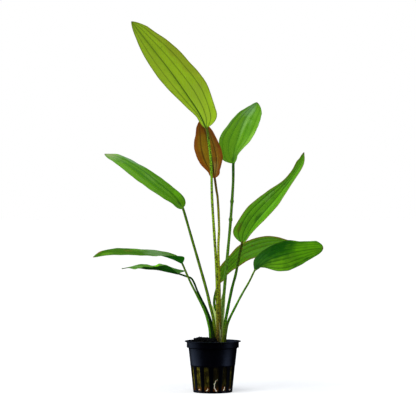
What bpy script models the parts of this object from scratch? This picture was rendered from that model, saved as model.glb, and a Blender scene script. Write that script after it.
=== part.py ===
"""A young sword plant with nine leaves, in its slotted pot with a rock wool plug.

The origin is the centre of the pot's underside, +Z is up, and -Y is the plant's front.
Leaves and roots are named for where they stand when the plant is seen from the front.
"""
import math
from dataclasses import dataclass

import bmesh
import bpy
import numpy as np
from mathutils import Matrix

MM = 0.001
GAP = 0.3 * MM  # between pieces that touch
NAME = "potted_echinodorus"

# The pot: a thin moulded cup with a flange, a wider collar and a tapered, slotted body
RIM_R = 27.5 * MM
RIM_TOP = 50.0 * MM
RIM_THICK = 0.9 * MM
COLLAR_R = 25.5 * MM
COLLAR_FOOT = 43.5 * MM
SHOULDER_R = 23.7 * MM
SLOT_TOP_R = 21.6 * MM
FOOT_R = 19.1 * MM
FOOT_ROUNDING = 0.7 * MM
WALL = 0.8 * MM
FLOOR = 1.5 * MM
POT_STEPS = 56

# Slots stand round the body, and drain slots under it in the same directions
SLOT_COUNT = 14
SLOT_WIDTH = 5.3 * MM
SLOT_LOW = 1.9 * MM
SLOT_HIGH = 25.4 * MM
SLOT_TURN = math.radians(8.2)  # from the front to the nearest slot
DRAIN_WIDTH = 2.2 * MM
DRAIN_INNER_R = 9.5 * MM
DRAIN_OUTER_R = 15.8 * MM

# What fills the pot
PLUG_TOP = 43.6 * MM
FILL_STEPS = 32
SOIL_LOW = PLUG_TOP + GAP
SOIL_TOP = 46.8 * MM
SOIL_R = COLLAR_R - WALL - GAP
MOUND_HEIGHT = 5.8 * MM
MOUND_CENTRE = (-10.2 * MM, 0.5 * MM)
MOUND_REACH = (9.5 * MM, 9.2 * MM)
MOUND_FLATNESS = 3
SOIL_RINGS = 7

# The crown: the short rootstock that every stalk stands on
CROWN_CENTRE = (4.6 * MM, -0.8 * MM)
CROWN_REACH = (9.2 * MM, 7.6 * MM)
CROWN_TOP = 49.0 * MM
CROWN_EDGE = 1.0 * MM
CROWN_STEPS = 24
STALK_FOOT = CROWN_TOP + GAP

STALK_POINTS = 13
STALK_TAPER = 1.5  # over 1 a stalk narrows most near its foot
BLADE_ROWS = 16
BLADE_COLUMNS = 6
BLADE_THICK = 0.6 * MM
BLADE_BASE = 1.0 * MM  # half width where the blade meets its stalk
BLADE_TIP = 0.5 * MM
BASE_ROUNDING = 0.1  # share of the blade's length that its rounded base takes
LOBE_REACH = 0.25  # share of it over which the base's lobes are drawn back
TIP_TAPER = 0.1  # share of it over which the tip closes
WIDTH_PLACES = (0.1, 0.3, 0.5, 0.7, 0.9)  # where along the blade its half widths are given
CURVE_PIECES = 24  # pieces that a smooth route is worked out in, between two given points

ROOT_R = 0.5 * MM

GREEN = (0.09, 0.26, 0.02)
DEEP_GREEN = (0.05, 0.17, 0.01)
BRONZE = (0.19, 0.075, 0.005)
STALK_GREEN = (0.15, 0.33, 0.02)


@dataclass
class Leaf:
    """A leaf: its stalk's route from the crown, then its blade along the midrib.

    Points are in millimetres. The stalk's first point gives its place on the crown. Left and
    right are the leaf's own, with its upper side seen and its tip up.
    """

    name: str
    stalk: tuple
    rib: tuple
    facing: tuple  # where the upper side looks, at the blade's base and at its tip
    left: tuple
    right: tuple
    thick: tuple  # the stalk's radius at the crown and at the blade
    fold: tuple  # degrees that each half rises at the base and at the tip, and how soon it changes
    lobes: tuple = (0.0, 0.0)  # how far the base's left and right lobes reach back past the stalk
    tip: float = 0.7  # under 1 the tip is blunt
    ripple: tuple = (0.0, 0.0, 0.0)  # the edge's waves: height, count and start
    colour: tuple = GREEN


LEAVES = (
    Leaf(
        name="top",
        stalk=(
            (4.8, -5.8), (4.5, -6.5, 80), (3.6, -8, 119), (1.8, -9.5, 148),
            (-0.7, -12.5, 187), (-1.8, -16, 223), (-5.6, -20, 256),
        ),
        rib=(
            (-6.2, -20, 257), (-12.4, -22, 270.4), (-22.1, -25, 285.2),
            (-41.2, -33, 311.7), (-60.2, -42, 335.4), (-77.5, -51, 357.1),
        ),
        facing=((0.3, 1.0, 0.35), (0.3, 1.0, 0.45)),
        left=(16, 22, 20.5, 17, 9.5),
        right=(5, 12.5, 16.5, 14.5, 7),
        thick=(1.7, 1.2),
        fold=(13, 13, 1),
        lobes=(1, 0),
        colour=(0.2, 0.37, 0.02),
    ),
    Leaf(
        name="young",
        stalk=(
            (6.9, -0.4), (6.5, 0.5, 99.5), (5.4, 1, 138.6), (6.1, 1.5, 160),
            (4.9, 2, 187.4), (3.5, 2.5, 197.2), (2, 3, 208),
        ),
        rib=((1.7, 3, 209), (-1.8, 3.6, 228.5), (-4.2, 4, 241.2), (-6.7, 4, 252), (-12, 4, 266)),
        facing=((-0.15, -1.0, 0.0), (-0.15, -1.0, 0.0)),
        left=(5, 12, 14.5, 12.5, 7),
        right=(6.5, 12, 11.5, 8.5, 4.5),
        thick=(1.5, 1.15),
        fold=(10, 10, 1),
        colour=BRONZE,
    ),
    Leaf(
        name="high_right",
        stalk=(
            (7.0, 4.2), (8.5, 4.6, 70), (10.5, 6, 89.5), (13.5, 9.5, 123.7),
            (17.2, 14.5, 162.9), (20, 21, 202.3), (20.3, 25, 222.6),
        ),
        rib=((20.4, 25, 223.6), (22.1, 29, 239), (30.1, 36, 263.1), (36.1, 40, 274.2), (44.7, 45, 284.9)),
        facing=((-0.5, -0.87, 0.2), (0.45, -0.85, 0.3)),
        left=(13, 17.5, 14.3, 9.4, 3.6),
        right=(5, 13.8, 15.6, 15, 10.9),
        thick=(1.65, 1.35),
        fold=(25, 12, 1),
        lobes=(0.5, 0),
        tip=0.5,
    ),
    Leaf(
        name="mid_right",
        stalk=(
            (9.7, -3), (10.9, -3.2, 59.7), (12.8, -4, 72.4), (18.2, -8, 99.8),
            (22, -12, 114.6), (24.4, -16, 127.3), (27.8, -24.4, 144.6),
        ),
        rib=(
            (28.1, -25, 145.4), (41.4, -31, 166.1), (64.2, -40, 193.5),
            (83, -47, 219.7), (86.7, -50, 232.7),
        ),
        facing=((-0.57, -0.8, 0.2), (-0.57, -0.8, 0.2)),
        left=(15, 15.3, 11.6, 5.2, 5.3),
        right=(5, 11.5, 12.6, 7.8, 5.8),
        thick=(1.7, 1.25),
        fold=(32, 32, 1),
        lobes=(4, 1),
    ),
    Leaf(
        name="rear_right",
        stalk=(
            (2.8, 4.6), (3.4, 4.4, 60.2), (2.9, 6, 77.7), (1.3, 8.5, 86.5),
            (2.7, 12.5, 96.1), (5.8, 17.6, 104.9),
        ),
        rib=(
            (6.1, 18, 105.7), (12.5, 22, 117), (19, 26, 124.2), (33.1, 35, 134.9),
            (59.3, 47, 143.1), (86.7, 58, 145.6),
        ),
        facing=((-0.4, -0.8, 0.45), (-0.1, -0.75, 0.65)),
        left=(7.5, 9, 12, 11, 3),
        right=(5, 11, 13, 12, 6),
        thick=(1.45, 1.2),
        fold=(12, 12, 1),
        colour=DEEP_GREEN,
    ),
    Leaf(
        name="low_right",
        stalk=(
            (11.5, 1.3), (12.9, 1, 59.4), (15.3, 0.3, 69.2), (22.6, -3.5, 84.5),
            (28.4, -9, 96), (35, -18, 108), (39.7, -29, 118.5),
        ),
        rib=(
            (40, -30, 119.5), (53.7, -40, 129.8), (72.4, -50, 136.1),
            (87.4, -56, 139.3), (104.4, -62, 141.7),
        ),
        facing=((-0.1, -0.86, 0.5), (-0.1, -0.86, 0.5)),
        left=(12.5, 16, 17, 12, 9.5),
        right=(1.5, 12, 16.8, 13.8, 7.5),
        thick=(1.5, 0.9),
        fold=(-10, -10, 1),
        lobes=(7, 0),
        tip=0.5,
        colour=DEEP_GREEN,
    ),
    Leaf(
        name="high_left",
        stalk=(
            (2.9, -2.4), (0.7, -3, 70.4), (-2.8, -4, 85.1), (-6.2, -5, 99.7),
            (-13.9, -8, 127.1), (-21.2, -11, 152.4), (-28.6, -14.8, 178),
        ),
        rib=(
            (-29.1, -15, 179.1), (-39.6, -16, 190.3), (-56.1, -14, 203.8),
            (-75.7, -9, 219.5), (-90.5, -4, 227.6), (-105.9, 3, 232.4),
        ),
        facing=((0.45, -0.6, 0.66), (0.45, -0.6, 0.66)),
        left=(6.5, 11, 13, 12.5, 6.5),
        right=(16, 15, 13, 8, 8.5),
        thick=(1.65, 1.2),
        fold=(-7, -7, 1),
        lobes=(0, 3),
    ),
    Leaf(
        name="low_left",
        stalk=(
            (-2.2, -3), (-3.2, -3.3, 62.6), (-7.1, -5, 77.3), (-12.5, -7.5, 89.1),
            (-22.2, -14.5, 108.8), (-29.1, -20.8, 125),
        ),
        rib=(
            (-29.5, -21.5, 126.2), (-39.4, -26, 131.2), (-53.7, -31, 135.4), (-71.8, -37, 137.4),
            (-90.7, -42, 138.2), (-105, -44, 136.5), (-114.5, -45, 132.6),
        ),
        facing=((0.0, -0.12, 0.99), (0.0, -0.31, 0.95)),
        left=(10, 12.5, 13, 12, 7.3),
        right=(10, 13, 13.5, 12, 7.3),
        thick=(1.5, 1.0),
        fold=(48, -2, 5),
        lobes=(3, 0),
    ),
    Leaf(
        name="twisted_left",
        stalk=(
            (0.4, 1.3), (-0.3, 1.3, 62.3), (-5.2, 1.5, 78), (-14, 3, 96),
            (-18.4, 4, 106.7), (-21.3, 4.5, 111), (-25.3, 5, 112.5), (-33, 5.9, 115.1),
        ),
        rib=(
            (-33.7, 6, 115.4), (-43.9, 9, 117.2), (-54.9, 14, 119.2),
            (-65.9, 20, 119.6), (-77.9, 25, 121.3), (-90.2, 30, 119.6),
        ),
        facing=((0.0, -0.1, 1.0), (0.0, -0.3, 0.95)),
        left=(8, 9, 8.5, 7, 3),
        right=(8, 9, 8.5, 7, 3),
        thick=(1.4, 0.9),
        fold=(45, -8, 2),
        lobes=(1, 9),
        ripple=(0.9, 2.5, 0.3),
        colour=DEEP_GREEN,
    ),
)


@dataclass
class Root:
    """A root that lies on the plug in one slot: (degrees from the slot's middle, height in mm)."""

    name: str
    slot: int  # counted from the slot nearest the front, growing to the right
    route: tuple


ROOTS = (
    Root(
        "root_front", 0,
        ((3.6, 3.6), (0.0, 2.7), (-3.6, 5.4), (-3.4, 7.5), (-3.8, 9.2), (-0.6, 12.0), (3.4, 13.6)),
    ),
    Root("root_front_left", -1, ((-3.0, 2.6), (0.5, 3.0), (3.5, 4.6))),
    Root("root_left", -2, ((3.0, 2.7), (0.0, 3.6), (-3.5, 2.9))),
    Root("root_front_right", 1, ((-2.0, 2.6), (1.0, 4.2), (2.5, 6.4))),
    Root("root_right", 2, ((-3.5, 3.4), (0.0, 2.7), (3.5, 3.6))),
)


def clear_scene():
    """Remove what the scene holds."""
    for obj in list(bpy.data.objects):
        bpy.data.objects.remove(obj, do_unlink=True)


def new_collection(name):
    """A collection in the scene."""
    found = bpy.data.collections.new(name)
    bpy.context.scene.collection.children.link(found)
    return found


def paint(obj, colour, roughness):
    """Give an object its own plain material."""
    material = bpy.data.materials.new(obj.name)
    material.use_nodes = True
    shader = material.node_tree.nodes["Principled BSDF"]
    shader.inputs["Base Color"].default_value = (*colour, 1.0)
    shader.inputs["Roughness"].default_value = roughness
    shader.inputs["Metallic"].default_value = 0.0
    obj.data.materials.append(material)


def mesh_object(name, bm, collection):
    """An object from a finished bmesh."""
    mesh = bpy.data.meshes.new(name)
    bm.to_mesh(mesh)
    bm.free()
    obj = bpy.data.objects.new(name, mesh)
    collection.objects.link(obj)
    return obj


def turned(name, profile, steps, collection):
    """A turned solid: its profile runs down the outer side and ends on the axis."""
    mesh = bpy.data.meshes.new(name)
    points = [(r, 0.0, z) for r, z in profile]
    mesh.from_pydata(points, [(i, i + 1) for i in range(len(points) - 1)], [])
    obj = bpy.data.objects.new(name, mesh)
    collection.objects.link(obj)
    screw = obj.modifiers.new("Turn", "SCREW")
    screw.steps = screw.render_steps = steps
    screw.use_merge_vertices = True
    screw.merge_threshold = 0.00005
    return obj


def applied(obj):
    """Fix an object's modifiers into its mesh, so that its points can be moved."""
    graph = bpy.context.evaluated_depsgraph_get()
    mesh = bpy.data.meshes.new_from_object(obj.evaluated_get(graph))
    obj.modifiers.clear()
    obj.data = mesh


def cut(obj, cutter):
    """Take a cutter's shape out of an object."""
    boolean = obj.modifiers.new("Cut", "BOOLEAN")
    boolean.operation = "DIFFERENCE"
    boolean.object = cutter


def as_cutter(obj):
    """Show an object as a guide only."""
    obj.hide_render = True
    obj.display_type = "WIRE"
    return obj


def slot_angle(index):
    """A slot's direction from the +X axis. Slot 0 is nearest the front, and they grow to the right."""
    return SLOT_TURN + index * math.tau / SLOT_COUNT - math.pi / 2


def inner_radius(z):
    """The pot's inner wall at a height in its slotted body."""
    heights = (0.0, SLOT_HIGH, COLLAR_FOOT)
    return np.interp(z, heights, (FOOT_R, SLOT_TOP_R, SHOULDER_R)) - WALL


def radial_boxes(name, inner, outer, width, low, high, collection):
    """One cutter of boxes that point outwards, one in each slot's direction."""
    bm = bmesh.new()
    size = Matrix.Diagonal((outer - inner, width, high - low, 1.0))
    place = Matrix.Translation(((inner + outer) / 2, 0.0, (low + high) / 2))
    for index in range(SLOT_COUNT):
        turn = Matrix.Rotation(slot_angle(index), 4, "Z")
        bmesh.ops.create_cube(bm, size=1.0, matrix=turn @ place @ size)
    return as_cutter(mesh_object(name, bm, collection))


def make_pot(parts, cutters):
    """The pot, with slots round its body and drain slots in its floor."""
    profile = (
        (0.0, FLOOR),
        (inner_radius(FLOOR), FLOOR),
        (SLOT_TOP_R - WALL, SLOT_HIGH),
        (SHOULDER_R - WALL, COLLAR_FOOT),
        (COLLAR_R - WALL, COLLAR_FOOT + WALL / 2),
        (COLLAR_R - WALL, RIM_TOP),
        (RIM_R - RIM_THICK / 4, RIM_TOP),
        (RIM_R, RIM_TOP - RIM_THICK / 2),
        (RIM_R - RIM_THICK / 4, RIM_TOP - RIM_THICK),
        (COLLAR_R, RIM_TOP - RIM_THICK),
        (COLLAR_R, COLLAR_FOOT),
        (SHOULDER_R, COLLAR_FOOT - WALL / 2),
        (SLOT_TOP_R, SLOT_HIGH),
        (FOOT_R, FOOT_ROUNDING),
        (FOOT_R - FOOT_ROUNDING, 0.0),
        (0.0, 0.0),
    )
    pot = turned("pot", profile, POT_STEPS, parts)
    slots = radial_boxes("slots", FOOT_R - 4 * WALL, RIM_R, SLOT_WIDTH, SLOT_LOW, SLOT_HIGH, cutters)
    drains = radial_boxes("drains", DRAIN_INNER_R, DRAIN_OUTER_R, DRAIN_WIDTH, -FLOOR, 2 * FLOOR, cutters)
    cut(pot, slots)
    cut(pot, drains)
    paint(pot, (0.008, 0.009, 0.014), 0.3)


def make_plug(parts):
    """The rock wool plug, as wide as the pot's inside."""
    foot = FLOOR + GAP
    profile = (
        (0.0, PLUG_TOP),
        (inner_radius(COLLAR_FOOT) - GAP, PLUG_TOP),
        (inner_radius(SLOT_HIGH) - GAP, SLOT_HIGH),
        (inner_radius(foot) - GAP, foot),
        (0.0, foot),
    )
    plug = turned("rock_wool_plug", profile, FILL_STEPS, parts)
    paint(plug, (0.14, 0.13, 0.02), 0.9)


def soil_height(x, y):
    """The soil's top: level, with a flat-topped mound left of the stalks."""
    across = (x - MOUND_CENTRE[0]) / MOUND_REACH[0]
    deep = (y - MOUND_CENTRE[1]) / MOUND_REACH[1]
    return SOIL_TOP + MOUND_HEIGHT * math.exp(-((across * across + deep * deep) ** MOUND_FLATNESS))


def oval_stump(name, centre, reach, height, collection):
    """An upright solid with an oval outline."""
    bm = bmesh.new()
    bmesh.ops.create_cone(
        bm, cap_ends=True, segments=CROWN_STEPS, radius1=1.0, radius2=1.0, depth=1.0,
        matrix=Matrix.Translation(centre) @ Matrix.Diagonal((*reach, height, 1.0)),
    )
    return mesh_object(name, bm, collection)


def make_crown(parts):
    """The crown: a short oval stump with a rounded edge."""
    middle = (*CROWN_CENTRE, (SOIL_LOW + CROWN_TOP) / 2)
    crown = oval_stump("crown", middle, CROWN_REACH, CROWN_TOP - SOIL_LOW, parts)
    edge = crown.modifiers.new("Rounded edge", "BEVEL")
    edge.width = CROWN_EDGE
    edge.segments = 2
    edge.limit_method = "ANGLE"
    paint(crown, (0.09, 0.1, 0.02), 0.6)


def make_soil(parts, cutters):
    """The soil on the plug, heaped left of the stalks and open round the crown."""
    top = [(r, SOIL_TOP) for r in np.linspace(0.0, SOIL_R, SOIL_RINGS + 1)]
    soil = turned("soil", [*top, (SOIL_R, SOIL_LOW), (0.0, SOIL_LOW)], FILL_STEPS, parts)
    applied(soil)
    for vertex in soil.data.vertices:
        if vertex.co.z > SOIL_LOW + GAP:
            vertex.co.z = soil_height(vertex.co.x, vertex.co.y)
    reach = [r + GAP for r in CROWN_REACH]
    height = 2 * (SOIL_TOP + MOUND_HEIGHT - SOIL_LOW)
    hole = oval_stump("crown_hole", (*CROWN_CENTRE, SOIL_TOP), reach, height, cutters)
    cut(soil, as_cutter(hole))
    paint(soil, (0.012, 0.01, 0.008), 0.95)


def smooth_route(points, count):
    """Evenly spaced points on a smooth curve through the given ones."""
    knots = np.array(points, float)
    ends = np.vstack([2 * knots[0] - knots[1], knots, 2 * knots[-1] - knots[-2]])
    fine = []
    for a, b, c, d in zip(ends, ends[1:], ends[2:], ends[3:]):
        for u in np.linspace(0.0, 1.0, CURVE_PIECES, endpoint=False):
            square = (2 * a - 5 * b + 4 * c - d) * u * u
            cube = (3 * b - a - 3 * c + d) * u * u * u
            fine.append((2 * b + (c - a) * u + square + cube) / 2)
    fine = np.array([*fine, knots[-1]])
    run = np.append(0.0, np.cumsum(np.linalg.norm(np.diff(fine, axis=0), axis=1)))
    where = np.linspace(0.0, run[-1], count)
    return np.column_stack([np.interp(where, run, fine[:, k]) for k in range(3)])


def make_tube(name, points, radii, colour, collection):
    """A round stem or root along points, with a radius at each."""
    curve = bpy.data.curves.new(name, "CURVE")
    curve.dimensions = "3D"
    curve.bevel_depth = 1.0
    curve.bevel_resolution = 2
    curve.use_fill_caps = True
    spline = curve.splines.new("POLY")
    spline.points.add(len(points) - 1)
    for place, point, radius in zip(spline.points, points, radii):
        place.co = (*point, 1.0)
        place.radius = radius
    obj = bpy.data.objects.new(name, curve)
    collection.objects.link(obj)
    paint(obj, colour, 0.4)


def make_stalk(leaf, parts):
    """A leaf's stalk: a tapered stem that is widest at the crown."""
    (x, y), *rest = leaf.stalk
    route = smooth_route([(x, y, STALK_FOOT / MM), *rest], STALK_POINTS) * MM
    foot, top = leaf.thick
    radii = (top + (foot - top) * np.linspace(1.0, 0.0, STALK_POINTS) ** STALK_TAPER) * MM
    make_tube(leaf.name + "_stalk", route, radii, STALK_GREEN, parts)


def half_width(widths, t, blunt):
    """A half blade's width at t along it: smooth between the given ones, round at the base."""
    knots = [(place, width, 0.0) for place, width in zip(WIDTH_PLACES, widths)]
    curve = smooth_route(knots, 4 * CURVE_PIECES)
    width = np.interp(t, curve[:, 0], curve[:, 1]) * MM
    base = math.sqrt(1.0 - (1.0 - min(t / BASE_ROUNDING, 1.0)) ** 2)
    tip = min((1.0 - t) / TIP_TAPER, 1.0) ** blunt
    least = BLADE_BASE + (BLADE_TIP - BLADE_BASE) * t
    return max(width * base * tip, least)


def unit(vector):
    """A vector's direction."""
    return vector / np.linalg.norm(vector)


def blade_point(leaf, rib, t, across):
    """A point of a blade's middle surface. across runs from -1 at the left edge to 1 at the right."""
    row = t * (len(rib) - 1)
    low = min(int(row), len(rib) - 2)
    centre = rib[low] + (rib[low + 1] - rib[low]) * (row - low)
    along = unit(rib[min(low + 2, len(rib) - 1)] - rib[max(low - 1, 0)])
    facing = np.array(leaf.facing[0]) * (1.0 - t) + np.array(leaf.facing[1]) * t
    up = unit(facing - along * np.dot(facing, along))
    right = np.cross(along, up)
    side = abs(across)
    widths = leaf.right if across > 0 else leaf.left
    reach = half_width(widths, t, leaf.tip) * side
    at_base, at_tip, power = leaf.fold
    rise = math.radians(at_tip + (at_base - at_tip) * (1.0 - t) ** power)
    sideways = math.copysign(reach * math.cos(rise), across)
    height, waves, start = leaf.ripple
    wave = height * MM * side * side * math.sin(math.tau * (waves * t + start + across / 4))
    lobe = leaf.lobes[1] if across > 0 else leaf.lobes[0]
    back = lobe * (reach / max(widths)) ** 2 * max(0.0, 1.0 - t / LOBE_REACH) ** 2 / MM
    return centre + right * sideways + up * (reach * math.sin(rise) + wave) - along * back


def make_blade(leaf, parts):
    """A leaf's blade: a sheet over its midrib and half widths, given its thickness."""
    rib = smooth_route(leaf.rib, 4 * BLADE_ROWS) * MM
    bm = bmesh.new()
    bmesh.ops.create_grid(bm, x_segments=BLADE_ROWS, y_segments=BLADE_COLUMNS, size=1.0)
    for vertex in bm.verts:
        t = (1.0 - math.cos(math.pi * (vertex.co.x + 1.0) / 2)) / 2
        vertex.co = blade_point(leaf, rib, t, -vertex.co.y)
    blade = mesh_object(leaf.name + "_leaf", bm, parts)
    sheet = blade.modifiers.new("Thickness", "SOLIDIFY")
    sheet.thickness = BLADE_THICK
    sheet.offset = 0.0
    paint(blade, leaf.colour, 0.45)


def make_root(root, parts):
    """A root in its slot, against the plug."""
    points = []
    for degrees, height in root.route:
        angle = slot_angle(root.slot) + math.radians(degrees)
        r = (inner_radius(height * MM) + ROOT_R) / MM
        points.append((r * math.cos(angle), r * math.sin(angle), height))
    route = smooth_route(points, 3 * len(points)) * MM
    make_tube(root.name, route, [ROOT_R] * len(route), (0.6, 0.5, 0.33), parts)


def main():
    """Build every piece."""
    clear_scene()
    parts = new_collection(NAME)
    cutters = new_collection(NAME + "_cutters")
    make_pot(parts, cutters)
    make_plug(parts)
    make_soil(parts, cutters)
    make_crown(parts)
    for leaf in LEAVES:
        make_stalk(leaf, parts)
        make_blade(leaf, parts)
    for root in ROOTS:
        make_root(root, parts)


main()
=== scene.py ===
"""The look of a potted sword plant: nine leaves on long stalks, in soil and rock wool in a slotted pot.

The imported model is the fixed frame, in metres, with +Z up and -Y towards the plant's front. Sizes
here are in millimetres unless a name says otherwise. Left and right are as seen from the front.
"""
import logging
import math
from dataclasses import dataclass, field
from enum import Enum
from typing import Any, Mapping, Sequence, Union

import bmesh
import bpy
import numpy as np
from mathutils import Matrix, Vector


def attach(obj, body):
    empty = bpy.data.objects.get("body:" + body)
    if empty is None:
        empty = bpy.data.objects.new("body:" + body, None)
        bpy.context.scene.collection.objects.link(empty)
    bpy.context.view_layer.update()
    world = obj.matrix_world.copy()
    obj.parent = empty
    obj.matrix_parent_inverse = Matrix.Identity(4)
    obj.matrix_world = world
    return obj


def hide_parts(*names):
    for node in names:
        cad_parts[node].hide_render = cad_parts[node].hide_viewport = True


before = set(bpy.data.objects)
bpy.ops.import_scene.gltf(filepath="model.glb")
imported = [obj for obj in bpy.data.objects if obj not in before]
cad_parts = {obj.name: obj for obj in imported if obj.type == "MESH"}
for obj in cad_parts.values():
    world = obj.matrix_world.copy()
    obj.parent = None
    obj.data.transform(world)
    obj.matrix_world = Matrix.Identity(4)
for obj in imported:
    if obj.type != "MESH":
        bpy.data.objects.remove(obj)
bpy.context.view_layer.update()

MM = 0.001

Point = Sequence[float]
Route = Sequence[Point]
Halves = tuple[Sequence[float], Sequence[float]]  # the left half's numbers and the right one's
Across = tuple[np.ndarray, np.ndarray]  # two directions across a line, at each of its points
Mesh = tuple[np.ndarray, list[list[int]]]  # points, and faces as numbers of points
Colour = tuple[float, float, float]
Feed = Union["Wire", float, Sequence[float]]

log = logging.getLogger("plant")


class Slot(Enum):
    """The record's material slots."""

    POT = "pot_plastic"
    WOOL = "rock_wool"
    SOIL = "soil"
    CROWN = "crown_tissue"
    STALK = "stalk_green"
    LEAF = "leaf_green"
    BRONZE = "leaf_bronze"
    ROOT = "root_white"


def chip(red: float, green: float, blue: float) -> Colour:
    """A paint chip's colour, made linear.

    Args:
        red, green, blue: the chip's values, 0 to 255.
    Returns:
        The colour as a shader reads it.
    """
    return tuple(
        part / 12.92 if part <= 0.04045 else ((part + 0.055) / 1.055) ** 2.4
        for part in (red / 255, green / 255, blue / 255)
    )


def is_number(value: Feed) -> bool:
    """Whether a value gives single numbers, and not colours or vectors."""
    if isinstance(value, Wire):
        return value.socket.type in ("VALUE", "INT")
    return isinstance(value, (int, float))


class Wire:
    """What one node's socket gives. Sums on it add the nodes that work them out."""

    def __init__(self, board: "Board", socket: bpy.types.NodeSocket) -> None:
        """Hold a socket and the board it is on."""
        self.board = board
        self.socket = socket

    def sum(self, operation: str, first: Feed, second: Feed) -> "Wire":
        """Work out one sum with a node.

        Args:
            operation: the Math or Vector Math node's own name for it.
            first, second: its two sides.
        Returns:
            The result, a number if both sides are numbers.
        """
        numbers = [is_number(side) for side in (first, second)]
        if all(numbers):
            return self.board.node("ShaderNodeMath", {"operation": operation}, {0: first, 1: second})
        kind = "ShaderNodeVectorMath"
        if operation == "MULTIPLY" and any(numbers):
            scale, vector = (first, second) if numbers[0] else (second, first)
            return self.board.node(kind, {"operation": "SCALE"}, {0: vector, "Scale": scale})
        sides = [(side,) * 3 if isinstance(side, (int, float)) else side for side in (first, second)]
        return self.board.node(kind, {"operation": operation}, dict(enumerate(sides)))

    def __add__(self, other: Feed) -> "Wire":
        """self + other"""
        return self.sum("ADD", self, other)

    __radd__ = __add__

    def __sub__(self, other: Feed) -> "Wire":
        """self - other"""
        return self.sum("SUBTRACT", self, other)

    def __rsub__(self, other: Feed) -> "Wire":
        """other - self"""
        return self.sum("SUBTRACT", other, self)

    def __mul__(self, other: Feed) -> "Wire":
        """self * other"""
        return self.sum("MULTIPLY", self, other)

    __rmul__ = __mul__

    def __truediv__(self, other: Feed) -> "Wire":
        """self / other"""
        return self.sum("DIVIDE", self, other)

    def __rtruediv__(self, other: Feed) -> "Wire":
        """other / self"""
        return self.sum("DIVIDE", other, self)

    def __abs__(self) -> "Wire":
        """The number without its sign."""
        return self.sum("ABSOLUTE", self, 0.0)

    def sine(self) -> "Wire":
        """The sine of a number, as an angle in radians."""
        return self.sum("SINE", self, 0.0)

    def or_more(self, other: Feed) -> "Wire":
        """The larger of two numbers."""
        return self.sum("MAXIMUM", self, other)

    def rise(self, low: float, high: float) -> "Wire":
        """A smooth step.

        Args:
            low: where it is 0.
            high: where it is 1. It may be the smaller one, and the step then goes down.
        Returns:
            The step, 0 to 1.
        """
        ends = {1: min(low, high), 2: max(low, high), 3: float(low > high), 4: float(low < high)}
        return self.board.node("ShaderNodeMapRange", {"interpolation_type": "SMOOTHSTEP"}, {0: self, **ends})

    def toward(self, other: Feed, share: Feed) -> "Wire":
        """A mix with another number or colour.

        Args:
            other: what it becomes where the share is 1.
            share: how far it goes there, 0 to 1.
        Returns:
            The mix.
        """
        return self.board.mix(self, other, share)


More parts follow.
